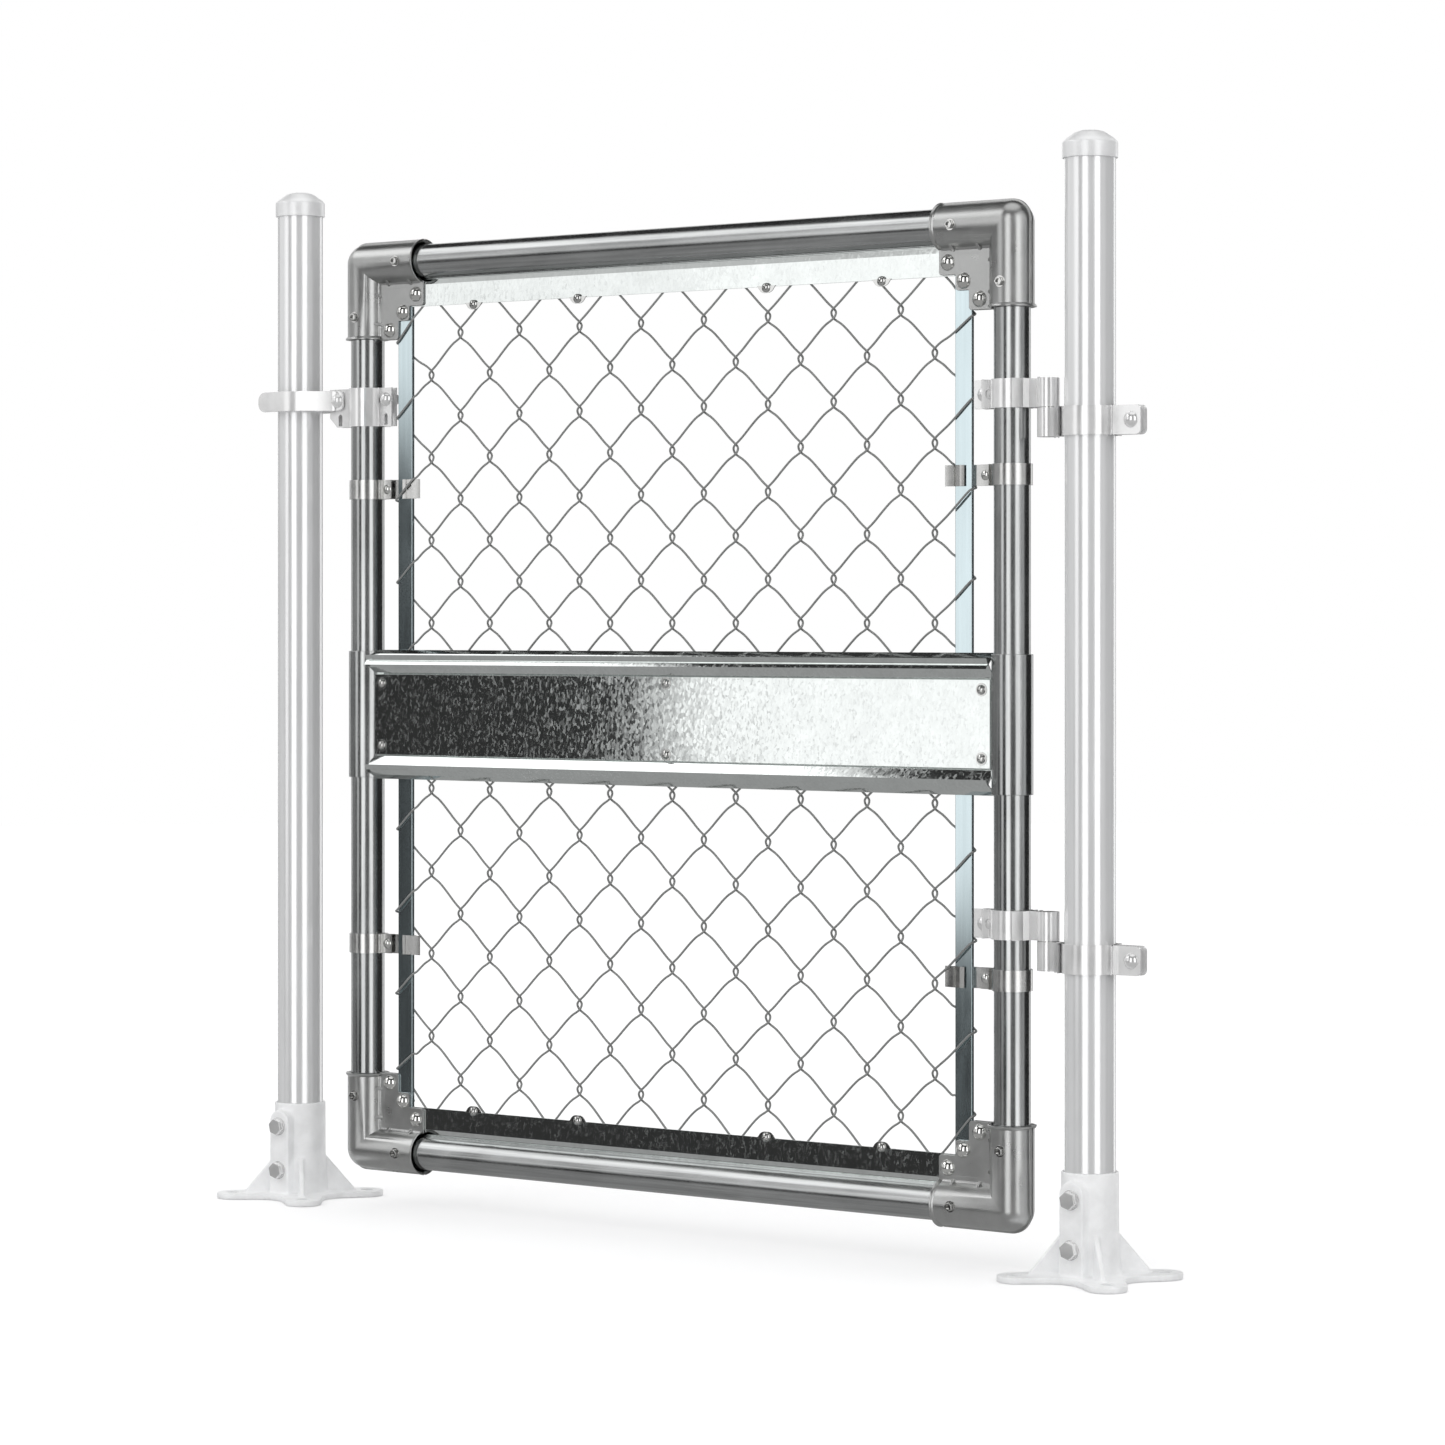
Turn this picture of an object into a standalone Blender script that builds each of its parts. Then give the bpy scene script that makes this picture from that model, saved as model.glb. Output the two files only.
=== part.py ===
"""Chain link walk gate with its two posts, fork latch and strap hinges."""

import math

import bmesh
import bpy
from mathutils import Matrix, Vector

# All sizes are in metres. X runs along the gate, +Y points to its back and +Z up.
# The origin is on the underside of the hinge post's base, on that post's axis.
CLEAR = 0.0003

# Layout along the gate, from the hinge post's axis towards -X
HINGE_AXIS_GAP = 0.0456
STILE_AXIS_GAP = 0.0402
FRAME_WIDTH = 0.804
LATCH_POST_GAP = 0.0954

# Frame tubes and their height above the floor
TUBE_RADIUS = 0.01745
TUBE_WALL = 0.0016
RAIL_LOW = 0.0585
RAIL_HIGH = 0.9815

# Posts, their caps and the cast floor bases
POST_RADIUS = 0.0238
POST_WALL = 0.0018
POST_TOP = 1.060
CAP_WALL = 0.0018
CAP_SKIRT = 0.016
CAP_RISE = 0.0045
CAP_FLAT_RADIUS = 0.011
BASE_PLATE = 0.006
BASE_HOLE_OFFSET = 0.050
BASE_HOLE_RADIUS = 0.0068
BASE_LOBE_RADIUS = 0.017
BASE_WAIST = 0.034
SOCKET_TOP = 0.101
SOCKET_TOP_RADIUS = 0.0267
SOCKET_FOOT_RADIUS = 0.0295
RIB_TALL = 0.046
RIB_REACH = 0.058
RIB_THICK = 0.006
BOSS_FACE = 0.0335
BOSS_HALF_WIDTH = 0.013
BOSS_TOP = 0.094
BASE_BOLT_HEIGHTS = (0.031, 0.077)
BASE_BOLT_RADIUS = 0.005
BASE_BOLT_HEAD_RADIUS = 0.0088
BASE_BOLT_HEAD = 0.0065

# Corner fittings: two pressed half shells to each corner
SHELL_RADIUS = 0.02025
SHELL_LEG = 0.079
SHELL_FLARE_RADIUS = 0.0228
SHELL_FLARE = 0.003
SHELL_LIP = 0.0018
SHELL_SHEET = 0.0012
GUSSET_NEAR = 0.0023
GUSSET_SHEET = 0.002
GUSSET_STEPS = (0.046, 0.061, 0.080)
GUSSET_ROUND = 0.010
CORNER_BOLTS = (0.034, 0.052, 0.070)
CORNER_BOLT_RADIUS = 0.003
CORNER_HEAD_RADIUS = 0.008
CORNER_HEAD_RISE = 0.004
CORNER_NUT_RADIUS = 0.0062
CORNER_NUT = 0.005
TOOTH_PLACES = (0.0335, 0.0635)
TOOTH_RADIUS = 0.0019
TOOTH_POINT = 0.00025
TOOTH_REACH = 0.007
TOOTH_SINK = 0.0018

# Strips that hold the mesh's top and bottom ends
STRIP_NEAR_RAIL = 0.018
STRIP_TALL = 0.029
STRIP_DEPTH = 0.004
STRIP_SHEET = 0.00095
STRIP_END = 0.0635
EAR_OFFSETS = (-0.255, -0.118, 0.118, 0.255)
EAR_HALF_WIDTH = 0.007
EAR_REACH = 0.006
EAR_ROUND = 0.003

# Tension bars and the bands that hold them to the stiles
BAR_CENTRE = 0.0535
BAR_WIDTH = 0.019
BAR_THICK = 0.004
BAR_END = 0.0455
BAND_HEIGHTS = (0.273, 0.746)
BAND_TALL = 0.020
BAND_SHEET = 0.0015
BAND_LUG_END = 0.034
BAND_LUG_GAP = 0.0012
BAND_BOLT = 0.029
BAND_BOLT_RADIUS = 0.0028
BAND_HEAD_RADIUS = 0.0052
BAND_HOOK_LIP = 0.009

# Woven mesh
WIRE = 0.0022
MESH_SIDE_GAP = 0.0876
MESH_END_GAP = 0.0345
MESH_COLUMNS = 8
MESH_ROWS = 10
MESH_PLANE = 0.0005
WEAVE = 0.0014
HOOK = 0.0013
HOOK_RISE = 0.0035
FUSED_SHIFT = 0.0003

# Cross rail: a ribbed channel and its cover plate between two sleeves
CROSS_HEIGHT = 0.512
SLEEVE_LENGTH = 0.1315
SLEEVE_WALL = 0.002
CHANNEL_SHEET = 0.0015
CHANNEL_WEB = -0.0076
CHANNEL_WEB_HALF = 0.0425
CHANNEL_RIB = -0.0186
CHANNEL_RIB_HALF = 0.0565
CHANNEL_EDGE_HALF = 0.066
CHANNEL_END_GAP = 0.015
COVER_SHEET = 0.0012
COVER_HALF_HEIGHT = 0.0418
COVER_END_GAP = 0.0185

# Strap hinges
HINGE_SPLITS = (0.3110, 0.8076)
STRAP_TALL = 0.0272
STRAP_SHEET = 0.0025
BARREL_RADIUS = 0.0105
PIN_RADIUS = 0.0076
STRAP_LUG = 0.019
STRAP_LUG_ROUND = 0.005
STRAP_LUG_GAP = 0.0045
STRAP_BOLT_RADIUS = 0.004
STRAP_HEAD_RADIUS = 0.0075
STRAP_HEAD_RISE = 0.004
STRAP_NUT_RADIUS = 0.0075
STRAP_NUT = 0.0055
NECK_GAP = 0.0002

# Fork latch
LATCH_HEIGHT = 0.840
LATCH_PIVOT_GAP = 0.036
CLAMP_TALL = 0.040
CLAMP_RISE = 0.012
CLAMP_SHEET = 0.002
CLAMP_EAR_GAP = 0.0035
CLAMP_POST_EAR = 0.030
CLAMP_MESH_EAR = 0.018
CLAMP_BOLT_IN = 0.010
CLAMP_CHAMFER = 0.011
CLAMP_SLOT_RADIUS = 0.0032
CLAMP_SLOT_DROP = 0.021
CLAMP_SLOT_TALL = 0.012
FORK_SHEET = 0.0025
FORK_TALL = 0.021
FORK_SIDE_GAP = 0.0052
FORK_BULGE = 0.0015
FORK_PAST_POST = 0.031
FORK_ROOT_GAP = 0.0006
FORK_ROOT = 0.0079
FORK_TIP_ROUND = 0.008
PIVOT_RADIUS = 0.004
PIVOT_CLEAR = 0.0006

# Distances under which points are merged
MERGE = 0.000001
WELD_GAP = 0.000005

# Number of flat sides on round shapes
ROUND_SIDES = 16
SHELL_SIDES = 16
SMALL_SIDES = 8

# Places worked out from the sizes above
HINGE_X = -HINGE_AXIS_GAP
HINGE_STILE_X = HINGE_X - STILE_AXIS_GAP
LATCH_STILE_X = HINGE_STILE_X - FRAME_WIDTH
LATCH_POST_X = LATCH_STILE_X - LATCH_POST_GAP
GATE_MID_X = (HINGE_STILE_X + LATCH_STILE_X) / 2
LATCH_PIVOT_X = LATCH_STILE_X - LATCH_PIVOT_GAP
SLEEVE_RADIUS = TUBE_RADIUS + CLEAR + SLEEVE_WALL
SHELL_BORE = TUBE_RADIUS + CLEAR
WIRE_RADIUS = WIRE / 2
CHANNEL_EDGE = -(BAR_THICK / 2 + WIRE + 2 * CLEAR + CHANNEL_SHEET / 2)
STILE_OVERRUN = math.sqrt(SHELL_BORE ** 2 - TUBE_RADIUS ** 2)
CLAMP_TOP = LATCH_HEIGHT + CLAMP_RISE
CHANNEL_HALF_LENGTH = FRAME_WIDTH / 2 - CHANNEL_END_GAP
COVER_HALF_LENGTH = FRAME_WIDTH / 2 - COVER_END_GAP
MESH_CENTRE_HEIGHT = (RAIL_LOW + RAIL_HIGH) / 2
DIAMOND_HALF_WIDTH = (FRAME_WIDTH / 2 - MESH_SIDE_GAP) / MESH_COLUMNS
DIAMOND_HALF_HEIGHT = ((RAIL_HIGH - RAIL_LOW) / 2 - MESH_END_GAP) / MESH_ROWS
STILES = {"hinge": HINGE_STILE_X, "latch": LATCH_STILE_X}
POSTS = {"hinge": 0.0, "latch": LATCH_POST_X}
LEVELS = ("lower", "upper")


def clear_scene():
    """Take away whatever the scene holds."""
    for obj in list(bpy.data.objects):
        bpy.data.objects.remove(obj, do_unlink=True)
    for group in list(bpy.data.collections):
        bpy.data.collections.remove(group)


def new_group(name):
    """A collection in the scene."""
    group = bpy.data.collections.new(name)
    bpy.context.scene.collection.children.link(group)
    return group


def new_surface(name, colour, roughness, metallic=1.0):
    """A Principled material with one colour."""
    surface = bpy.data.materials.new(name)
    surface.use_nodes = True
    shader = surface.node_tree.nodes["Principled BSDF"]
    shader.inputs["Base Color"].default_value = (*colour, 1.0)
    shader.inputs["Roughness"].default_value = roughness
    shader.inputs["Metallic"].default_value = metallic
    return surface


clear_scene()
PIECES = new_group("chain_link_gate")
TOOLS = new_group("cutters")
TUBE_FINISH = new_surface("galvanised_tube", (0.36, 0.37, 0.37), 0.32)
POST_FINISH = new_surface("pale_galvanised_post", (0.80, 0.81, 0.82), 0.35)
CAST_FINISH = new_surface("cast_aluminium", (0.78, 0.79, 0.79), 0.5)
SHELL_FINISH = new_surface("satin_zinc_shell", (0.50, 0.50, 0.49), 0.38)
SHEET_FINISH = new_surface("spangled_sheet", (0.66, 0.69, 0.69), 0.28)
BAR_FINISH = new_surface("zinc_bar", (0.55, 0.62, 0.63), 0.35)
BAND_FINISH = new_surface("zinc_band", (0.62, 0.62, 0.61), 0.3)
STRAP_FINISH = new_surface("pale_zinc_strap", (0.78, 0.78, 0.78), 0.3)
BOLT_FINISH = new_surface("bright_bolt", (0.75, 0.75, 0.74), 0.2)
WIRE_FINISH = new_surface("galvanised_wire", (0.48, 0.48, 0.47), 0.35)


def mesh_object(name, bm, group=None):
    """Turn a bmesh into an object."""
    mesh = bpy.data.meshes.new(name)
    bm.to_mesh(mesh)
    bm.free()
    obj = bpy.data.objects.new(name, mesh)
    (group or TOOLS).objects.link(obj)
    return obj


def as_tool(obj):
    """Mark an object as a cutter or filler that only shapes another one."""
    obj.hide_render = True
    obj.display_type = "WIRE"
    return obj


def as_piece(obj, surface, parent=None):
    """Make an object one of the gate's own pieces."""
    if obj.name in TOOLS.objects:
        TOOLS.objects.unlink(obj)
        PIECES.objects.link(obj)
    obj.data.materials.clear()
    obj.data.materials.append(surface)
    if parent is not None:
        obj.parent = parent
        obj.matrix_parent_inverse = Matrix.Translation(-pivot_place(parent))
    return obj


def pivot_place(pivot):
    """World place of a pivot empty, through the pivots that carry it."""
    place = Vector(pivot.location)
    while pivot.parent is not None:
        pivot = pivot.parent
        place += Vector(pivot.location)
    return place


def new_pivot(name, place, parent=None):
    """An empty on a joint's axis, which carries the moving pieces."""
    pivot = bpy.data.objects.new(name, None)
    pivot.location = Vector(place) - (pivot_place(parent) if parent else Vector())
    pivot.parent = parent
    PIECES.objects.link(pivot)
    return pivot


def combine(obj, tool, operation):
    """Join a tool to an object, or cut the object with it."""
    step = obj.modifiers.new(tool.name, "BOOLEAN")
    step.operation = operation
    step.solver = "EXACT"
    step.object = as_tool(tool)
    return obj


def cut(obj, *tools):
    """Cut an object with each tool in turn."""
    for tool in tools:
        combine(obj, tool, "DIFFERENCE")
    return obj


def weld(obj):
    """Close the hairline gaps that cutting can leave between coincident points."""
    step = obj.modifiers.new("weld", "WELD")
    step.merge_threshold = WELD_GAP
    return obj


def tidy_faces(obj):
    """Merge the flat faces that Booleans leave split."""
    step = obj.modifiers.new("tidy", "DECIMATE")
    step.decimate_type = "DISSOLVE"
    step.angle_limit = math.radians(0.5)
    return obj


def join(obj, *tools):
    """Fuse each tool to an object in turn."""
    for tool in tools:
        combine(obj, tool, "UNION")
    return obj


def baked_mesh(obj):
    """The mesh that an object's modifiers give, turned as the object is."""
    bpy.context.view_layer.update()
    graph = bpy.context.evaluated_depsgraph_get()
    mesh = bpy.data.meshes.new_from_object(obj.evaluated_get(graph), depsgraph=graph)
    mesh.transform(obj.matrix_world)
    mesh.shade_smooth()
    mesh.set_sharp_from_angle(angle=math.radians(35))
    return mesh


def box(name, low, high):
    """A box between two corners."""
    bm = bmesh.new()
    bmesh.ops.create_cube(bm, size=1.0)
    low, high = Vector(low), Vector(high)
    bmesh.ops.scale(bm, vec=high - low, verts=bm.verts)
    bmesh.ops.translate(bm, vec=(low + high) / 2, verts=bm.verts)
    return mesh_object(name, bm)


AXIS_TURNS = {"X": Matrix.Rotation(math.pi / 2, 4, "Y"), "Y": Matrix.Rotation(-math.pi / 2, 4, "X"),
              "Z": Matrix.Identity(4)}


def add_rod(bm, start, length, radius, axis="Z", sides=SMALL_SIDES, end_radius=None):
    """Add a rod to a bmesh, from its start face along an axis."""
    far_radius = radius if end_radius is None else end_radius
    made = bmesh.ops.create_cone(bm, cap_ends=True, segments=sides, radius1=radius,
                                 radius2=far_radius, depth=length)
    bmesh.ops.translate(bm, vec=(0, 0, length / 2), verts=made["verts"])
    turn = AXIS_TURNS[axis]
    bmesh.ops.transform(bm, matrix=Matrix.Translation(start) @ turn, verts=made["verts"])


def rod(name, start, length, radius, axis="Z", sides=SMALL_SIDES):
    """A rod as an object of its own."""
    bm = bmesh.new()
    add_rod(bm, start, length, radius, axis, sides)
    return mesh_object(name, bm)


def add_dome(bm, face, radius, rise, outward, sides=SMALL_SIDES, sink=0.0):
    """Add a carriage bolt's round head, its flat side on a face square to Y."""
    steps = 2
    profile = []
    for step in range(steps + 1):
        angle = math.pi / 2 * step / steps
        profile.append((radius * math.cos(angle), rise * math.sin(angle)))
    ring = None
    for ring_radius, height in [(radius, -sink)] + profile[:-1]:
        verts = []
        for side in range(sides):
            turn = 2 * math.pi * side / sides
            x = face[0] + ring_radius * math.cos(turn)
            z = face[2] + ring_radius * math.sin(turn)
            verts.append(bm.verts.new((x, face[1] + outward * height, z)))
        if ring is None:
            bm.faces.new(verts)
        else:
            for side in range(sides):
                after = (side + 1) % sides
                bm.faces.new((ring[side], ring[after], verts[after], verts[side]))
        ring = verts
    top = bm.verts.new((face[0], face[1] + outward * rise, face[2]))
    for side in range(sides):
        bm.faces.new((ring[side], ring[(side + 1) % sides], top))


def bolt_tool(name, x, z, front, back, radius, head_radius, head_rise, nut_radius, nut_tall):
    """A carriage bolt with its nut: domed head in front, hexagon nut behind."""
    sink = head_rise / 4
    bm = bmesh.new()
    add_rod(bm, (x, front - sink, z), back - front + 2 * sink, radius, "Y")
    shank = mesh_object(name, bm)
    bm = bmesh.new()
    add_dome(bm, (x, front, z), head_radius, head_rise, -1, sink=sink)
    add_rod(bm, (x, back - sink, z), nut_tall + sink, nut_radius, "Y", 6)
    bmesh.ops.recalc_face_normals(bm, faces=bm.faces)
    ends = mesh_object(name + "_ends", bm)
    return [shank, ends]


def turned(name, profile, sides=ROUND_SIDES, closed=False):
    """A profile of (radius, height) points turned round Z, its outer side running down."""
    bm = bmesh.new()
    verts = [bm.verts.new((radius, 0, height)) for radius, height in profile]
    for start, end in zip(verts, verts[1:]):
        bm.edges.new((start, end))
    if closed:
        bm.edges.new((verts[-1], verts[0]))
    obj = mesh_object(name, bm)
    turn = obj.modifiers.new("turn", "SCREW")
    turn.angle = 2 * math.pi
    turn.steps = sides
    turn.render_steps = sides
    turn.use_merge_vertices = True
    turn.merge_threshold = 0.00001
    turn.use_smooth_shade = False
    return obj


def tube(name, start, length, radius, wall, axis="Z", sides=ROUND_SIDES):
    """A round tube with open ends."""
    profile = [(radius, length), (radius, 0), (radius - wall, 0), (radius - wall, length)]
    obj = turned(name, profile, sides, closed=True)
    obj.matrix_world = Matrix.Translation(start) @ AXIS_TURNS[axis]
    return obj


def arc(centre, radius, start, end, steps):
    """Points along an arc, from one angle to another in degrees."""
    points = []
    for step in range(steps + 1):
        angle = math.radians(start + (end - start) * step / steps)
        points.append((centre[0] + radius * math.cos(angle), centre[1] + radius * math.sin(angle)))
    return points


def rounded(corners, steps=2):
    """An outline of (x, y, radius) corners, each rounded by its own radius."""
    outline = []
    count = len(corners)
    for index, (x, y, radius) in enumerate(corners):
        corner = Vector((x, y))
        if radius <= 0:
            outline.append((x, y))
            continue
        before = (Vector(corners[index - 1][:2]) - corner).normalized()
        after = (Vector(corners[(index + 1) % count][:2]) - corner).normalized()
        half = before.angle(after) / 2
        reach = radius / math.tan(half)
        centre = corner + (before + after).normalized() * (radius / math.sin(half))
        first = corner + before * reach - centre
        last = corner + after * reach - centre
        swing = first.angle_signed(last)
        for step in range(steps + 1):
            spoke = first.copy()
            spoke.rotate(Matrix.Rotation(-swing * step / steps, 2))
            outline.append(tuple(centre + spoke))
    return outline


def slab(name, outline, low, high):
    """A flat outline in X and Z, filled and given its thickness along Y."""
    curve = bpy.data.curves.new(name, "CURVE")
    curve.dimensions = "2D"
    curve.fill_mode = "BOTH"
    curve.extrude = (high - low) / 2
    spline = curve.splines.new("POLY")
    spline.points.add(len(outline) - 1)
    for point, (x, z) in zip(spline.points, outline):
        point.co = (x, z, 0, 1)
    spline.use_cyclic_u = True
    drawn = bpy.data.objects.new(name, curve)
    TOOLS.objects.link(drawn)
    bpy.context.view_layer.update()
    graph = bpy.context.evaluated_depsgraph_get()
    mesh = bpy.data.meshes.new_from_object(drawn.evaluated_get(graph), depsgraph=graph)
    bpy.data.objects.remove(drawn, do_unlink=True)
    bm = bmesh.new()
    bm.from_mesh(mesh)
    bpy.data.meshes.remove(mesh)
    bmesh.ops.remove_doubles(bm, verts=bm.verts, dist=MERGE)
    stand = Matrix.Translation((0, (low + high) / 2, 0)) @ Matrix.Rotation(math.pi / 2, 4, "X")
    bmesh.ops.transform(bm, matrix=stand, verts=bm.verts)
    bmesh.ops.recalc_face_normals(bm, faces=bm.faces)
    return mesh_object(name, bm)


def bent_strip(name, path, low, high, thickness, round_start=0.0, round_end=0.0):
    """A strip bent along a plan path of (x, y) points, standing from one height to another.

    The corners at either end of the strip may be rounded.
    """
    bm = bmesh.new()
    verts = [bm.verts.new((x, y, low)) for x, y in path]
    edges = [bm.edges.new(pair) for pair in zip(verts, verts[1:])]
    made = bmesh.ops.extrude_edge_only(bm, edges=edges)
    risen = [item for item in made["geom"] if isinstance(item, bmesh.types.BMVert)]
    bmesh.ops.translate(bm, vec=(0, 0, high - low), verts=risen)
    for (x, y), size in ((path[0], round_start), (path[-1], round_end)):
        if size > 0:
            corners = [vert for vert in bm.verts if (vert.co.xy - Vector((x, y))).length < MERGE]
            bmesh.ops.bevel(bm, geom=corners, offset=size, offset_type="OFFSET", affect="VERTICES",
                            segments=3, profile=0.5, material=-1)
    obj = mesh_object(name, bm)
    sheet = obj.modifiers.new("sheet", "SOLIDIFY")
    sheet.thickness = thickness
    sheet.offset = 0.0
    sheet.use_even_offset = True
    return obj


def make_post(side, x):
    """A post with its cap and cast base."""
    bottom = BASE_PLATE + CLEAR
    post = tube(side + "_post", (x, 0, bottom), POST_TOP - bottom, POST_RADIUS, POST_WALL)
    as_piece(post, POST_FINISH)
    make_cap(side, x)
    make_base(side, x)


def make_cap(side, x):
    """A pressed cap with a straight skirt, sloping shoulder and flat top."""
    inner = POST_RADIUS + CLEAR
    outer = inner + CAP_WALL
    ceiling = POST_TOP + CLEAR
    shoulder = ceiling - CAP_RISE
    top = ceiling + CAP_WALL
    profile = [(0, top), (CAP_FLAT_RADIUS, top), (outer - CAP_WALL, shoulder + CAP_WALL), (outer, shoulder),
               (outer, ceiling - CAP_SKIRT), (inner, ceiling - CAP_SKIRT), (inner, ceiling), (0, ceiling)]
    cap = turned(side + "_post_cap", profile)
    cap.location.x = x
    as_piece(cap, POST_FINISH)


def make_base(side, x):
    """A cast floor flange: lobed plate, ribbed socket and a boss for two clamping bolts."""
    tip = BASE_LOBE_RADIUS
    corners = []
    for quarter in range(4):
        turn = Matrix.Rotation(quarter * math.pi / 2, 2)
        lobe = [(BASE_WAIST, 0, 0.03), (BASE_HOLE_OFFSET + tip * math.sqrt(2), BASE_HOLE_OFFSET, tip * 0.98),
                (BASE_HOLE_OFFSET, BASE_HOLE_OFFSET + tip * math.sqrt(2), tip * 0.98)]
        for px, py, radius in lobe:
            point = turn @ Vector((px, py))
            corners.append((point.x, point.y, radius))
    flange = slab(side + "_post_base", rounded(corners), 0, BASE_PLATE)
    flange.data.transform(Matrix.Rotation(math.pi / 2, 4, "X"))
    profile = [(0, SOCKET_TOP), (SOCKET_TOP_RADIUS, SOCKET_TOP), (SOCKET_TOP_RADIUS, RIB_TALL + BASE_PLATE),
               (SOCKET_FOOT_RADIUS, BASE_PLATE / 2), (0, BASE_PLATE / 2)]
    socket = turned(side + "_socket", profile)
    ribs = []
    inside = (SOCKET_TOP_RADIUS + POST_RADIUS) / 2
    outline = [(inside, BASE_PLATE / 2), (RIB_REACH, BASE_PLATE / 2), (inside, RIB_TALL)]
    for quarter in range(4):
        rib = slab("%s_rib_%d" % (side, quarter), outline, -RIB_THICK / 2, RIB_THICK / 2)
        rib.data.transform(Matrix.Rotation(math.radians(45 + 90 * quarter), 4, "Z"))
        ribs.append(rib)
    foot, round_top = BASE_PLATE / 2, BOSS_HALF_WIDTH * 0.98
    arch = [(-BOSS_HALF_WIDTH, foot, 0), (BOSS_HALF_WIDTH, foot, 0),
            (BOSS_HALF_WIDTH, BOSS_TOP, round_top), (-BOSS_HALF_WIDTH, BOSS_TOP, round_top)]
    boss = slab(side + "_boss", rounded(arch, 4), -BOSS_FACE, 0)
    bore = rod(side + "_bore", (0, 0, BASE_PLATE), SOCKET_TOP, POST_RADIUS + CLEAR, sides=ROUND_SIDES)
    bm = bmesh.new()
    for sx in (-1, 1):
        for sy in (-1, 1):
            place = (sx * BASE_HOLE_OFFSET, sy * BASE_HOLE_OFFSET, -BASE_PLATE)
            add_rod(bm, place, 3 * BASE_PLATE, BASE_HOLE_RADIUS)
    for height in BASE_BOLT_HEIGHTS:
        add_rod(bm, (0, -BOSS_FACE * 1.2, height), BOSS_FACE, BASE_BOLT_RADIUS + CLEAR, "Y")
    holes = mesh_object(side + "_holes", bm)
    join(flange, socket, *ribs)
    join(flange, boss)
    cut(flange, bore, holes)
    for part in (flange, socket, boss, bore, holes, *ribs):
        part.location.x = x
    as_piece(weld(flange), CAST_FINISH)
    for level, height in zip(LEVELS, BASE_BOLT_HEIGHTS):
        bolt = make_base_bolt("%s_base_bolt_%s" % (side, level), height)
        bolt.location.x = x
        as_piece(bolt, BOLT_FINISH)


def make_base_bolt(name, height):
    """A hexagon bolt that runs through the boss and stops against the post."""
    head_face = -BOSS_FACE - CLEAR
    bm = bmesh.new()
    add_rod(bm, (0, head_face - BASE_BOLT_HEAD, height), BASE_BOLT_HEAD, BASE_BOLT_HEAD_RADIUS, "Y", 6)
    head = mesh_object(name, bm)
    shank_start = head_face - BASE_BOLT_HEAD / 2
    shank_end = -POST_RADIUS - CLEAR
    shank = rod(name + "_shank", (0, shank_start, height), shank_end - shank_start, BASE_BOLT_RADIUS, "Y")
    shank.parent = head
    return join(head, shank)


def make_frame(gate):
    """Two stiles with two rails butted between them."""
    low = RAIL_LOW - STILE_OVERRUN
    for side, x in STILES.items():
        stile = tube(side + "_stile", (x, 0, low), RAIL_HIGH + STILE_OVERRUN - low, TUBE_RADIUS, TUBE_WALL)
        as_piece(stile, TUBE_FINISH, gate)
    start = LATCH_STILE_X + TUBE_RADIUS + CLEAR
    length = HINGE_STILE_X - TUBE_RADIUS - CLEAR - start
    for name, height in (("bottom_rail", RAIL_LOW), ("top_rail", RAIL_HIGH)):
        rail = tube(name, (start, 0, height), length, TUBE_RADIUS, TUBE_WALL, "X")
        as_piece(rail, TUBE_FINISH, gate)


def gusset_outline():
    """Stepped gusset between the legs, for a corner whose legs run to +X and -Z."""
    near = (SHELL_BORE + SHELL_RADIUS) / 2
    short, middle, long = GUSSET_STEPS
    soft = GUSSET_ROUND / 4
    corners = [(near, near, 0), (long, near, 0), (long, short, GUSSET_ROUND), (middle, short, soft),
               (middle, middle, GUSSET_ROUND * 0.8), (short, middle, soft), (short, long, GUSSET_ROUND),
               (near, long, 0)]
    return [(x, -z) for x, z in rounded(corners)]


def lip_outline():
    """Narrow flange along the outer edge, where the two half shells meet."""
    outer = SHELL_RADIUS + SHELL_LIP
    inner = (SHELL_BORE + SHELL_RADIUS) / 2
    end = SHELL_LEG - SHELL_FLARE / 2
    band = [(end, outer)] + arc((0, 0), outer, 90, 180, 6) + [(-outer, -end)]
    back = [(-inner, -end)] + arc((0, 0), inner, 180, 90, 6) + [(end, inner)]
    return band + back


def shell_teeth(name, facing):
    """Pointed teeth pressed across the bends between the legs and the gusset."""
    y = facing * (GUSSET_NEAR + GUSSET_SHEET * 0.9)
    root = SHELL_RADIUS - TOOTH_SINK
    length = TOOTH_REACH + TOOTH_SINK
    bm = bmesh.new()
    for along in TOOTH_PLACES:
        add_rod(bm, (along, y, -root - length), length, TOOTH_POINT, "Z", 6, TOOTH_RADIUS)
        add_rod(bm, (root, y, -along), length, TOOTH_RADIUS, "X", 6, TOOTH_POINT)
    return mesh_object(name + "_teeth", bm)


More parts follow.
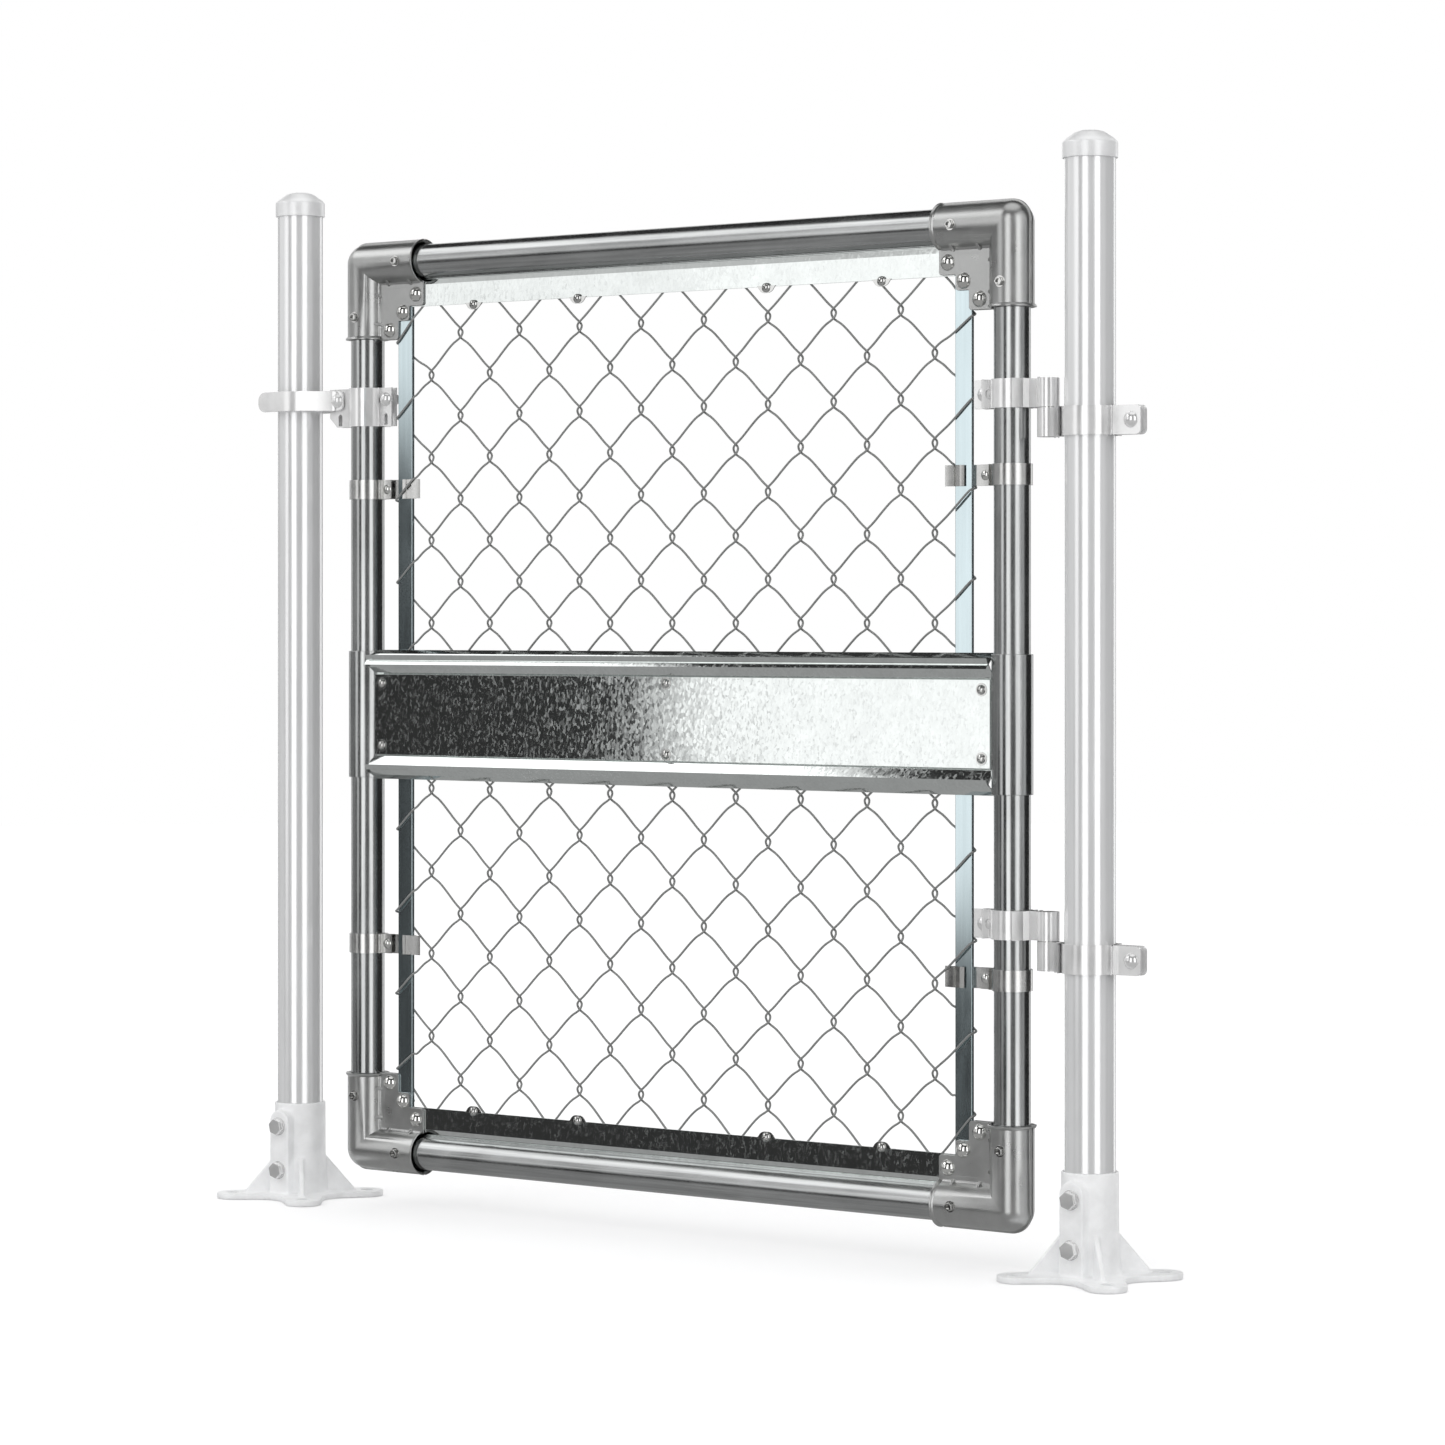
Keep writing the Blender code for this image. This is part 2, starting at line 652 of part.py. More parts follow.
def shell_solid(name, facing):
    """One pressed half shell at the origin, on the side of Y that facing gives."""
    leg_profile = [(0, SHELL_LEG), (SHELL_FLARE_RADIUS, SHELL_LEG),
                   (SHELL_FLARE_RADIUS, SHELL_LEG - SHELL_FLARE / 2), (SHELL_RADIUS, SHELL_LEG - SHELL_FLARE),
                   (SHELL_RADIUS, 0), (0, 0)]
    shell = turned(name, leg_profile, SHELL_SIDES)
    shell.matrix_world = AXIS_TURNS["X"]
    down_leg = turned(name + "_leg", leg_profile, SHELL_SIDES)
    down_leg.matrix_world = Matrix.Rotation(math.pi, 4, "X")
    bm = bmesh.new()
    bmesh.ops.create_uvsphere(bm, u_segments=SHELL_SIDES, v_segments=SHELL_SIDES // 2,
                              radius=SHELL_RADIUS * 0.998)
    knee = mesh_object(name + "_knee", bm)
    low, high = sorted((facing * GUSSET_NEAR, facing * (GUSSET_NEAR + GUSSET_SHEET)))
    gusset = slab(name + "_gusset", gusset_outline(), low, high)
    lip = slab(name + "_lip", lip_outline(), -SHELL_SHEET, SHELL_SHEET)
    reach = 2 * SHELL_LEG
    far_side = sorted((facing * CLEAR / 2, -facing * reach))
    halver = box(name + "_halver", (-reach, far_side[0], -reach), (reach, far_side[1], reach))
    past = STILE_OVERRUN + CLEAR
    across = rod(name + "_bore_x", (-past, 0, 0), reach + past, SHELL_BORE, "X", ROUND_SIDES)
    down = rod(name + "_bore_z", (0, 0, -reach), reach + past, SHELL_BORE, "Z", ROUND_SIDES)
    join(shell, down_leg, knee, gusset, lip, shell_teeth(name, facing))
    cut(shell, across, down, halver)
    return tidy_faces(shell)


def corner_bolt_places():
    """Bolt centres on the gusset, for a corner whose legs run to +X and -Z."""
    return list(zip(CORNER_BOLTS, [-drop for drop in reversed(CORNER_BOLTS)]))


def front_shell():
    """Front half shell with the carriage bolts' heads and shanks."""
    shell = shell_solid("front_shell", -1)
    face = -(GUSSET_NEAR + GUSSET_SHEET)
    sink = GUSSET_SHEET / 2
    bm = bmesh.new()
    for x, z in corner_bolt_places():
        add_dome(bm, (x, face, z), CORNER_HEAD_RADIUS, CORNER_HEAD_RISE, -1, sink=sink)
    bmesh.ops.recalc_face_normals(bm, faces=bm.faces)
    heads = mesh_object("front_heads", bm)
    bm = bmesh.new()
    for x, z in corner_bolt_places():
        add_rod(bm, (x, face + sink / 2, z), CORNER_NUT - 2 * face, CORNER_BOLT_RADIUS, "Y", 8)
    shanks = mesh_object("front_shanks", bm)
    return tidy_faces(join(shell, heads, shanks))


def back_shell():
    """Back half shell with a nut round each bolt."""
    shell = shell_solid("back_shell", 1)
    face = GUSSET_NEAR + GUSSET_SHEET
    bm = bmesh.new()
    for x, z in corner_bolt_places():
        add_rod(bm, (x, face - GUSSET_SHEET / 2, z), CORNER_NUT, CORNER_NUT_RADIUS, "Y", 6)
    nuts = mesh_object("back_nuts", bm)
    bm = bmesh.new()
    for x, z in corner_bolt_places():
        add_rod(bm, (x, 0, z), 4 * face, CORNER_BOLT_RADIUS + CLEAR, "Y", 8)
    holes = mesh_object("back_holes", bm)
    join(shell, nuts)
    return tidy_faces(cut(shell, holes))


def make_corners(gate):
    """Front and back half shells on all four corners, turned about Y from the top latch corner."""
    places = (("latch_top", LATCH_STILE_X, RAIL_HIGH), ("hinge_top", HINGE_STILE_X, RAIL_HIGH),
              ("hinge_bottom", HINGE_STILE_X, RAIL_LOW), ("latch_bottom", LATCH_STILE_X, RAIL_LOW))
    for half, master in (("front", front_shell()), ("back", back_shell())):
        mesh = baked_mesh(master)
        as_tool(master)
        for quarter, (corner, x, z) in enumerate(places):
            obj = bpy.data.objects.new("corner_%s_%s" % (corner, half), mesh)
            obj.location = (x, 0, z)
            obj.rotation_euler.y = quarter * math.pi / 2
            PIECES.objects.link(obj)
            as_piece(obj, SHELL_FINISH, gate)


def make_strips(gate):
    """Folded strips along the rails, bolted between the half shells."""
    low_x = LATCH_STILE_X + STRIP_END
    high_x = HINGE_STILE_X - STRIP_END
    bolt_x = CORNER_BOLTS[-1]
    bolt_drop = CORNER_BOLTS[0]
    leg_end = SHELL_LEG + CLEAR
    front = -STRIP_DEPTH / 2
    for name, rail, inward in (("bottom_strip", RAIL_LOW, 1), ("top_strip", RAIL_HIGH, -1)):
        near = rail + inward * STRIP_NEAR_RAIL
        far = near + inward * STRIP_TALL
        centre = front + STRIP_SHEET / 2
        fold = near + inward * STRIP_SHEET / 2
        path = [(far, centre), (fold, centre), (fold, -front)]
        strip = bent_strip(name, [(y, z) for z, y in path], low_x, high_x, STRIP_SHEET)
        strip.data.transform(Matrix(((0, 0, 1, 0), (1, 0, 0, 0), (0, 1, 0, 0), (0, 0, 0, 1))))
        for offset in EAR_OFFSETS:
            x = GATE_MID_X + offset
            root, tip = far - inward * EAR_REACH, far + inward * EAR_REACH
            ear = [(x - EAR_HALF_WIDTH, root, 0), (x + EAR_HALF_WIDTH, root, 0),
                   (x + EAR_HALF_WIDTH, tip, EAR_ROUND), (x - EAR_HALF_WIDTH, tip, EAR_ROUND)]
            join(strip, slab("%s_ear" % name, rounded(ear), front, front + STRIP_SHEET))
        bm = bmesh.new()
        for x in (LATCH_STILE_X + bolt_x, HINGE_STILE_X - bolt_x):
            place = (x, -STRIP_TALL, rail + inward * bolt_drop)
            add_rod(bm, place, 2 * STRIP_TALL, CORNER_BOLT_RADIUS + CLEAR, "Y")
        cut(strip, mesh_object(name + "_holes", bm))
        for side, leg_x in (("latch", LATCH_STILE_X + leg_end), ("hinge", HINGE_STILE_X - leg_end)):
            notch_z = sorted((rail, rail + inward * (SHELL_FLARE_RADIUS + CLEAR)))
            notch_x = sorted((leg_x, STILES[side]))
            cut(strip, box("%s_notch_%s" % (name, side), (notch_x[0], -STRIP_TALL, notch_z[0]),
                           (notch_x[1], STRIP_TALL, notch_z[1])))
        as_piece(strip, SHEET_FINISH, gate)


def make_bars(gate):
    """Tension bars through the mesh's edge loops, bolted at the middle corner bolts."""
    bolt = CORNER_BOLTS[1]
    for side, x in STILES.items():
        inward = 1 if side == "latch" else -1
        centre = x + inward * BAR_CENTRE
        low, high = RAIL_LOW + BAR_END, RAIL_HIGH - BAR_END
        bar = box("tension_bar_" + side, (centre - BAR_WIDTH / 2, -BAR_THICK / 2, low),
                  (centre + BAR_WIDTH / 2, BAR_THICK / 2, high))
        bm = bmesh.new()
        for z in (RAIL_LOW + bolt, RAIL_HIGH - bolt):
            add_rod(bm, (x + inward * bolt, -BAR_THICK, z), 2 * BAR_THICK, CORNER_BOLT_RADIUS + CLEAR, "Y")
        cut(bar, mesh_object(bar.name + "_holes", bm))
        as_piece(bar, BAR_FINISH, gate)


def make_bands(gate):
    """Bands round the stiles that hook behind the tension bars."""
    for side, x in STILES.items():
        inward = 1 if side == "latch" else -1
        path = [(x + inward * along, y) for along, y in band_path()]
        for level, height in zip(LEVELS, BAND_HEIGHTS):
            name = "tension_band_%s_%s" % (side, level)
            low, high = height - BAND_TALL / 2, height + BAND_TALL / 2
            band = bent_strip(name, path, low, high, BAND_SHEET)
            front = -BAND_LUG_GAP - BAND_SHEET / 2
            back = BAR_THICK / 2 + CLEAR + BAND_SHEET
            tools = bolt_tool(name + "_bolt", x + inward * BAND_BOLT, height, front, back, BAND_BOLT_RADIUS,
                              BAND_HEAD_RADIUS, 0.003, 0.005, 0.004)
            join(band, *tools)
            as_piece(band, BAND_FINISH, gate)


def band_path():
    """Plan path of a tension band, from its front lug round the stile to its hook."""
    bend = TUBE_RADIUS + CLEAR + BAND_SHEET / 2
    lug_angle = math.degrees(math.asin(BAND_LUG_GAP / bend))
    back = BAR_THICK / 2 + CLEAR + BAND_SHEET / 2
    back_angle = math.degrees(math.asin(back / bend))
    inner_edge = BAR_CENTRE + BAR_WIDTH / 2 + CLEAR + BAND_SHEET / 2
    path = [(BAND_LUG_END, -BAND_LUG_GAP)]
    path += arc((0, 0), bend, -lug_angle, back_angle - 360, 20)
    path += [(inner_edge, back), (inner_edge, -back), (inner_edge - BAND_HOOK_LIP, -back)]
    return path


def picket_path(column):
    """Points of one zigzag wire between a column of interlocks and the next one."""
    path = []
    for row in range(-MESH_ROWS, MESH_ROWS + 1):
        at_left = (column + row) % 2 == 0
        outward = -1 if at_left else 1
        node_column = column if at_left else column + 1
        x = GATE_MID_X + node_column * DIAMOND_HALF_WIDTH
        z = MESH_CENTRE_HEIGHT + row * DIAMOND_HALF_HEIGHT
        if abs(node_column) > MESH_COLUMNS:
            path += bar_loop(x - outward * DIAMOND_HALF_WIDTH, z, outward)
        elif abs(row) >= MESH_ROWS - 1:
            path.append((x + outward * WIRE, MESH_PLANE + outward * FUSED_SHIFT, z + outward * FUSED_SHIFT))
        else:
            depth = -outward * WEAVE
            path.append((x + outward * HOOK, MESH_PLANE + depth, z - HOOK_RISE))
            path.append((x + outward * HOOK, MESH_PLANE - depth, z + HOOK_RISE))
    return path


def bar_loop(node_x, z, outward):
    """Points that take a wire round the tension bar, in front of it and back behind it."""
    stile_x = HINGE_STILE_X if outward > 0 else LATCH_STILE_X
    bar_outer = stile_x - outward * (BAR_CENTRE - BAR_WIDTH / 2)
    bar_inner = stile_x - outward * (BAR_CENTRE + BAR_WIDTH / 2)
    turn_x = bar_outer + outward * (WIRE_RADIUS + CLEAR)
    clear_x = bar_inner - outward * (BAND_SHEET + 2 * WIRE_RADIUS + CLEAR)
    reach = GUSSET_STEPS[-1] + 2 * WIRE_RADIUS
    turn_z = min(max(z, RAIL_LOW + reach), RAIL_HIGH - reach)
    near_band = any(abs(z - height) < DIAMOND_HALF_HEIGHT + BAND_TALL for height in BAND_HEIGHTS)
    offset = BAR_THICK / 2 + CLEAR + WIRE_RADIUS + (BAND_SHEET + CLEAR if near_band else 0)
    share = (clear_x - node_x) / (turn_x - node_x)
    strip_low = RAIL_LOW + STRIP_NEAR_RAIL + STRIP_TALL + WIRE
    strip_high = RAIL_HIGH - STRIP_NEAR_RAIL - STRIP_TALL - WIRE
    loop = []
    for end in (-1, 1):
        node_z = z + end * DIAMOND_HALF_HEIGHT
        depth = end * outward * offset
        leg = [(clear_x, depth, node_z + (turn_z - node_z) * share), (turn_x, depth, turn_z)]
        edge_z = min(max(node_z, strip_low), strip_high)
        if edge_z != node_z:
            edge_share = (edge_z - node_z) / (turn_z - node_z)
            leg.insert(0, (node_x + (turn_x - node_x) * edge_share, MESH_PLANE, edge_z))
        loop += leg if end < 0 else leg[::-1]
    return loop


def wire_set(name, columns):
    """Wires that don't touch each other, as one mesh of four-sided rods."""
    curve = bpy.data.curves.new(name, "CURVE")
    curve.dimensions = "3D"
    curve.bevel_depth = WIRE_RADIUS
    curve.bevel_resolution = 0
    curve.use_fill_caps = True
    for column in columns:
        path = picket_path(column)
        spline = curve.splines.new("POLY")
        spline.points.add(len(path) - 1)
        for place, (x, y, z) in zip(spline.points, path):
            place.co = (x, y, z, 1)
    drawn = bpy.data.objects.new(name, curve)
    TOOLS.objects.link(drawn)
    mesh = baked_mesh(drawn)
    bpy.data.objects.remove(drawn, do_unlink=True)
    bm = bmesh.new()
    bm.from_mesh(mesh)
    bpy.data.meshes.remove(mesh)
    bmesh.ops.remove_doubles(bm, verts=bm.verts, dist=MERGE)
    return mesh_object(name, bm)


def make_fabric(gate):
    """Woven mesh: each zigzag wire hooks the next one, and the end rows are fused."""
    first, last = -MESH_COLUMNS - 1, MESH_COLUMNS
    fabric = wire_set("chain_link_fabric", range(first, last + 1, 2))
    join(fabric, wire_set("alternate_wires", range(first + 1, last + 1, 2)))
    as_piece(fabric, WIRE_FINISH, gate)


def make_cross_rail(gate):
    """Sleeves on the stiles, the ribbed channel coped against them and its cover plate."""
    low = CROSS_HEIGHT - SLEEVE_LENGTH / 2
    sleeve_bore = TUBE_RADIUS + CLEAR
    for side, x in STILES.items():
        sleeve = tube("rail_sleeve_" + side, (x, 0, low), SLEEVE_LENGTH, SLEEVE_RADIUS,
                      SLEEVE_RADIUS - sleeve_bore)
        as_piece(sleeve, SHELL_FINISH, gate)
    half = [(CHANNEL_EDGE_HALF, CHANNEL_EDGE), (CHANNEL_RIB_HALF, CHANNEL_RIB), (CHANNEL_WEB_HALF, CHANNEL_WEB)]
    section = half + [(-z, y) for z, y in reversed(half)]
    start, end = GATE_MID_X - CHANNEL_HALF_LENGTH, GATE_MID_X + CHANNEL_HALF_LENGTH
    path = [(y, z + CROSS_HEIGHT) for z, y in section]
    channel = bent_strip("cross_channel", path, start, end, CHANNEL_SHEET)
    channel.data.transform(Matrix(((0, 0, 1, 0), (1, 0, 0, 0), (0, 1, 0, 0), (0, 0, 0, 1))))
    cover_back = CHANNEL_WEB - CHANNEL_SHEET / 2 - CLEAR
    cover_low = (GATE_MID_X - COVER_HALF_LENGTH, cover_back - COVER_SHEET, CROSS_HEIGHT - COVER_HALF_HEIGHT)
    cover_high = (GATE_MID_X + COVER_HALF_LENGTH, cover_back, CROSS_HEIGHT + COVER_HALF_HEIGHT)
    cover = box("cross_plate", cover_low, cover_high)
    for side, x in STILES.items():
        coping = rod("coping_" + side, (x, 0, low - SLEEVE_LENGTH), 3 * SLEEVE_LENGTH, SLEEVE_RADIUS + CLEAR,
                     sides=ROUND_SIDES * 2)
        cut(channel, coping)
        cut(cover, coping)
    as_piece(channel, SHEET_FINISH, gate)
    as_piece(cover, SHEET_FINISH, gate)


def strap_path(pipe_radius, barrel_distance):
    """Plan path of a hinge strap: lugs on the far side of the pipe, barrel towards +X."""
    half_sheet = STRAP_SHEET / 2
    bend = pipe_radius + CLEAR + half_sheet
    neck = half_sheet + NECK_GAP
    roll = BARREL_RADIUS - half_sheet
    lug_angle = math.degrees(math.asin(STRAP_LUG_GAP / bend))
    neck_angle = math.degrees(math.asin(neck / bend))
    roll_angle = math.degrees(math.asin(neck / roll))
    front = [(-bend - STRAP_LUG, -STRAP_LUG_GAP)]
    front += arc((0, 0), bend, 180 + lug_angle, 360 - neck_angle, 12)
    front += arc((barrel_distance, 0), roll, 180 + roll_angle, 360, 9)
    return front + [(x, -y) for x, y in reversed(front[:-1])]


def make_strap(name, pipe_x, pipe_radius, barrel_x, low, parent):
    """A hinge strap round a pipe, with its rolled barrel on the hinge axis."""
    towards = 1 if barrel_x > pipe_x else -1
    path = [(pipe_x + towards * x, y) for x, y in strap_path(pipe_radius, abs(barrel_x - pipe_x))]
    strap = bent_strip(name, path, low, low + STRAP_TALL, STRAP_SHEET, STRAP_LUG_ROUND, STRAP_LUG_ROUND)
    bend = pipe_radius + CLEAR + STRAP_SHEET / 2
    bolt_x = pipe_x - towards * (bend + STRAP_LUG / 2)
    face = STRAP_LUG_GAP + STRAP_SHEET / 2
    tools = bolt_tool(name + "_bolt", bolt_x, low + STRAP_TALL / 2, -face, face, STRAP_BOLT_RADIUS,
                      STRAP_HEAD_RADIUS, STRAP_HEAD_RISE, STRAP_NUT_RADIUS, STRAP_NUT)
    join(strap, *tools)
    as_piece(strap, STRAP_FINISH, parent)


def make_hinges(gate):
    """Two hinges: a gate strap turning on the pin that the post strap holds."""
    for level, split in zip(LEVELS, HINGE_SPLITS):
        start = split - CLEAR - STRAP_TALL
        make_strap("gate_strap_" + level, HINGE_STILE_X, TUBE_RADIUS, HINGE_X, split + CLEAR, gate)
        make_strap("post_strap_" + level, 0.0, POST_RADIUS, HINGE_X, start, None)
        pin_length = 2 * (STRAP_TALL + CLEAR)
        pin = rod("hinge_pin_" + level, (HINGE_X, 0, start), pin_length, PIN_RADIUS, sides=ROUND_SIDES)
        as_piece(pin, BOLT_FINISH)


def make_latch(gate, fork_pivot):
    """Clamp on the latch stile and the fork that drops round the latch post."""
    bend = TUBE_RADIUS + CLEAR + CLAMP_SHEET / 2
    low, high = CLAMP_TOP - CLAMP_TALL, CLAMP_TOP
    ear_angle = math.degrees(math.asin(CLAMP_EAR_GAP / bend))
    halves = []
    for name, side in (("latch_clamp", -1), ("latch_clamp_back", 1)):
        front = [(-bend - CLAMP_POST_EAR, -CLAMP_EAR_GAP)]
        front += arc((0, 0), bend, 180 + ear_angle, 360 - ear_angle, 12)
        front += [(bend + CLAMP_MESH_EAR, -CLAMP_EAR_GAP)]
        path = [(LATCH_STILE_X + x, -side * y) for x, y in front]
        halves.append(bent_strip(name, path, low, high, CLAMP_SHEET))
    clamp, back_half = halves
    face = CLAMP_EAR_GAP + CLAMP_SHEET / 2
    bolt_x = LATCH_STILE_X + bend + CLAMP_BOLT_IN
    shank, ends = bolt_tool("clamp_bolt", bolt_x, LATCH_HEIGHT, -face, face, STRAP_BOLT_RADIUS,
                            STRAP_HEAD_RADIUS, STRAP_HEAD_RISE, STRAP_NUT_RADIUS, STRAP_NUT)
    join(clamp, back_half, shank, ends)
    bm = bmesh.new()
    add_rod(bm, (LATCH_PIVOT_X, -TUBE_RADIUS, LATCH_HEIGHT), 2 * TUBE_RADIUS, PIVOT_RADIUS + PIVOT_CLEAR, "Y")
    cut(clamp, mesh_object("clamp_pivot_hole", bm))
    slot_z = LATCH_HEIGHT - CLAMP_SLOT_DROP
    for slot_x in (LATCH_PIVOT_X, bolt_x):
        slot = []
        for side, end in ((-1, -1), (1, -1), (1, 1), (-1, 1)):
            corner = (slot_x + side * CLAMP_SLOT_RADIUS, slot_z + end * CLAMP_SLOT_TALL / 2)
            slot.append((*corner, CLAMP_SLOT_RADIUS * 0.98))
        cut(clamp, slab("clamp_slot", rounded(slot), -TUBE_RADIUS, TUBE_RADIUS))
    ear_x = LATCH_STILE_X - bend - CLAMP_POST_EAR - CLEAR
    chamfer = [(ear_x, low - CLEAR), (ear_x + CLAMP_CHAMFER, low - CLEAR), (ear_x, low + CLAMP_CHAMFER)]
    cut(clamp, slab("clamp_chamfer", chamfer, -TUBE_RADIUS, TUBE_RADIUS))
    as_piece(clamp, STRAP_FINISH, gate)
    make_fork(fork_pivot)


def fork_arm_path():
    """Plan path of the fork's front arm, from its root at the pivot to past the post."""
    root_y = CLAMP_EAR_GAP + CLAMP_SHEET / 2 + FORK_ROOT_GAP + FORK_SHEET / 2
    side_y = POST_RADIUS + FORK_SIDE_GAP + FORK_SHEET / 2
    reach = LATCH_PIVOT_X - LATCH_POST_X
    near = reach - POST_RADIUS - FORK_SIDE_GAP
    far = reach + FORK_PAST_POST
    path = [(-FORK_ROOT, root_y), (FORK_ROOT, root_y), (near, side_y)]
    steps = 8
    for step in range(1, steps + 1):
        share = step / steps
        path.append((near + (far - near) * share, side_y + FORK_BULGE * math.sin(math.pi * share)))
    return [(LATCH_PIVOT_X - along, -y) for along, y in path]


def make_fork(pivot):
    """Two arms either side of the post, joined by the pivot bolt."""
    low, high = LATCH_HEIGHT - FORK_TALL / 2, LATCH_HEIGHT + FORK_TALL / 2
    front_path = fork_arm_path()
    back_path = [(x, -y) for x, y in front_path]
    fork = bent_strip("latch_fork", front_path, low, high, FORK_SHEET, round_end=FORK_TIP_ROUND)
    back_arm = bent_strip("fork_back_arm", back_path, low, high, FORK_SHEET, round_end=FORK_TIP_ROUND)
    face = CLAMP_EAR_GAP + CLAMP_SHEET / 2 + FORK_ROOT_GAP + FORK_SHEET
    tools = bolt_tool("pivot_bolt", LATCH_PIVOT_X, LATCH_HEIGHT, -face, face, PIVOT_RADIUS,
                      STRAP_HEAD_RADIUS, STRAP_HEAD_RISE, STRAP_NUT_RADIUS, STRAP_NUT)
    join(fork, back_arm, *tools)
    as_piece(fork, STRAP_FINISH, pivot)


def build():
    """Make the whole gate."""
    gate = new_pivot("gate_pivot", (HINGE_X, 0, HINGE_SPLITS[0]))
    fork_pivot = new_pivot("latch_pivot", (LATCH_PIVOT_X, 0, LATCH_HEIGHT), gate)
    for side, x in POSTS.items():
        make_post(side, x)
    make_frame(gate)
    make_corners(gate)
    make_strips(gate)
    make_bars(gate)
    make_bands(gate)
    make_fabric(gate)
    make_cross_rail(gate)
    make_hinges(gate)
    make_latch(gate, fork_pivot)


build()
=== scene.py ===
"""Fine shapes and finishes of a chain link walk gate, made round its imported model."""

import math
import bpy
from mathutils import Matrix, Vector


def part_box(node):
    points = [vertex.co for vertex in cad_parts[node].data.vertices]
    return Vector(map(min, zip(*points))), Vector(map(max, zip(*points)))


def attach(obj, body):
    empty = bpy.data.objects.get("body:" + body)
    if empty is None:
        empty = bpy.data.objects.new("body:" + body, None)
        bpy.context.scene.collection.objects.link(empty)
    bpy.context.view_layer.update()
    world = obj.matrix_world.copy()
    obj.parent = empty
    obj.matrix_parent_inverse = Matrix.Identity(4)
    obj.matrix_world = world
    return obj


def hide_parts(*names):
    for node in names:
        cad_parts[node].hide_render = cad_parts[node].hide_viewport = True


bl_info = {
    "name": "Chain Link Gate",
    "version": (1, 0, 0),
    "blender": (4, 5, 0),
    "location": "View3D > Sidebar > Gate",
    "description": "Dresses the packed gate with its fine shapes, zinc finishes and studio",
    "category": "Object",
}

import bmesh
import bpy
from mathutils import Matrix, Vector

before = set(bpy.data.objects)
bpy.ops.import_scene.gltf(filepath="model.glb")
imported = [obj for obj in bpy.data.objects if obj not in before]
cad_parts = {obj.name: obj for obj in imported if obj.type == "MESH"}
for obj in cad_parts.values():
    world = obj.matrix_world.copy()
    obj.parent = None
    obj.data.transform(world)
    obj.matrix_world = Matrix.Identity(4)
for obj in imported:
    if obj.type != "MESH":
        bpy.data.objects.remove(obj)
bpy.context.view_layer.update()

# Steps of a full turn on tubes, middling and small rounds, and the degrees of one step of an arc
TUBE_STEPS = 96
TURN_STEPS = 64
SMALL_STEPS = 32
ARC_STEP = 7.5

# Gap between pieces that lie on each other, and how close a point counts as on a line
CLEAR = 0.0003
NEARLY = 0.0001
POSTS = ("hinge", "latch")
LEVELS = ("lower", "upper")
X_AXIS = (1, 0, 0)
Y_AXIS = (0, 1, 0)
Z_AXIS = (0, 0, 1)
FRONT = (0, -1, 0)
BACK = (0, 1, 0)

# Turns a flat shape up, its thickness to the front
UPRIGHT = Matrix.Rotation(math.pi / 2, 4, "X")


def middle(name):
    """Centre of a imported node's box."""
    low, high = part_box(name)
    return (low + high) / 2


def half_width(name):
    """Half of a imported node's width along the gate."""
    low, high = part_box(name)
    return (high.x - low.x) / 2


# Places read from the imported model
POST_X = {side: middle(side + "_post").x for side in POSTS}
STILE_X = {side: middle(side + "_stile").x for side in POSTS}
RAIL_Z = {"bottom": middle("bottom_rail").z, "top": middle("top_rail").z}
POST_RADIUS = half_width("hinge_post")
TUBE_RADIUS = half_width("hinge_stile")
GATE_MID_X = (STILE_X["hinge"] + STILE_X["latch"]) / 2
HINGE_X = middle("hinge_pin_lower").x
CROSS_Z = middle("rail_sleeve_hinge").z
INWARD = {"hinge": -1, "latch": 1}

# Tubes' walls
POST_WALL = 0.0018
FRAME_WALL = 0.0016

# Caps: the crown's rise above the shoulder, and the skirt's height and the post's end below it
CAP_CROWN = 0.0102
CAP_SKIRT = 0.0154
CAP_ROOM = 0.0035

# Cast floor bases: the foot's thickness, its holes' places, its rounded tips and waists, the bolts' boss
BASE_PLATE = 0.006
BASE_HOLE = 0.050
BASE_TIP = 0.017
BASE_WAIST = 0.034
BASE_BOSS = 0.0335

# Corner fittings: legs, flared mouths, the lip at the seam, the stepped gusset, bolts, screws and darts.
# LEGS turn the level leg into itself and into the upright one; CROSSWISE turns a dart across a leg.
SHELL_LEG = 0.079
SHELL_FLARE = 0.003
SHELL_LIP = 0.0018
SHELL_RADIUS = (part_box("corner_latch_top_front")[1].z - RAIL_Z["top"]) - SHELL_LIP
SHELL_FILLET = 0.004
GUSSET_NEAR = 0.0023
GUSSET_SHEET = 0.002
GUSSET_STEPS = (0.046, 0.061, 0.080)
CORNER_BOLTS = (0.034, 0.052, 0.070)
SCREW_FROM_CORNER = 0.056
DARTS_FROM_CORNER = (0.0335, 0.0635)
DART_OUTLINE = ((-0.0150, -0.0135), (-0.0042, -0.0245), (-0.0032, -0.0215), (-0.0135, -0.0125))
DART_HALF = 0.0017
LEGS = (Matrix.Identity(4), Matrix(((0, 0, -1, 0), (0, 1, 0, 0), (-1, 0, 0, 0), (0, 0, 0, 1))))
CROSSWISE = Matrix(((0, 0, 1, 0), (1, 0, 0, 0), (0, 1, 0, 0), (0, 0, 0, 1)))

# Heads of the carriage bolts (radius, rise and straight rim) and their nuts (radius and height)
CORNER_HEAD, CORNER_NUT = (0.0079, 0.0056, 0.0003), (0.0062, 0.0045)
BAND_HEAD, BAND_NUT = (0.005, 0.0026, 0.0002), (0.0052, 0.004)
STRAP_HEAD, STRAP_NUT = (0.0076, 0.0052, 0.0003), (0.0075, 0.0055)

# Cover plate's screws: from the gate's middle, and up and down from the cross rail's
PLATE_SCREWS = ((-0.374, 0.0324), (0.0, 0.0353), (0.374, 0.0324))

# Strips along the mesh's ends, and their clips' places from the gate's middle
STRIP_TALL = 0.029
STRIP_SHEET = 0.00095
CLIPS = (-0.255, -0.118, 0.118, 0.255)

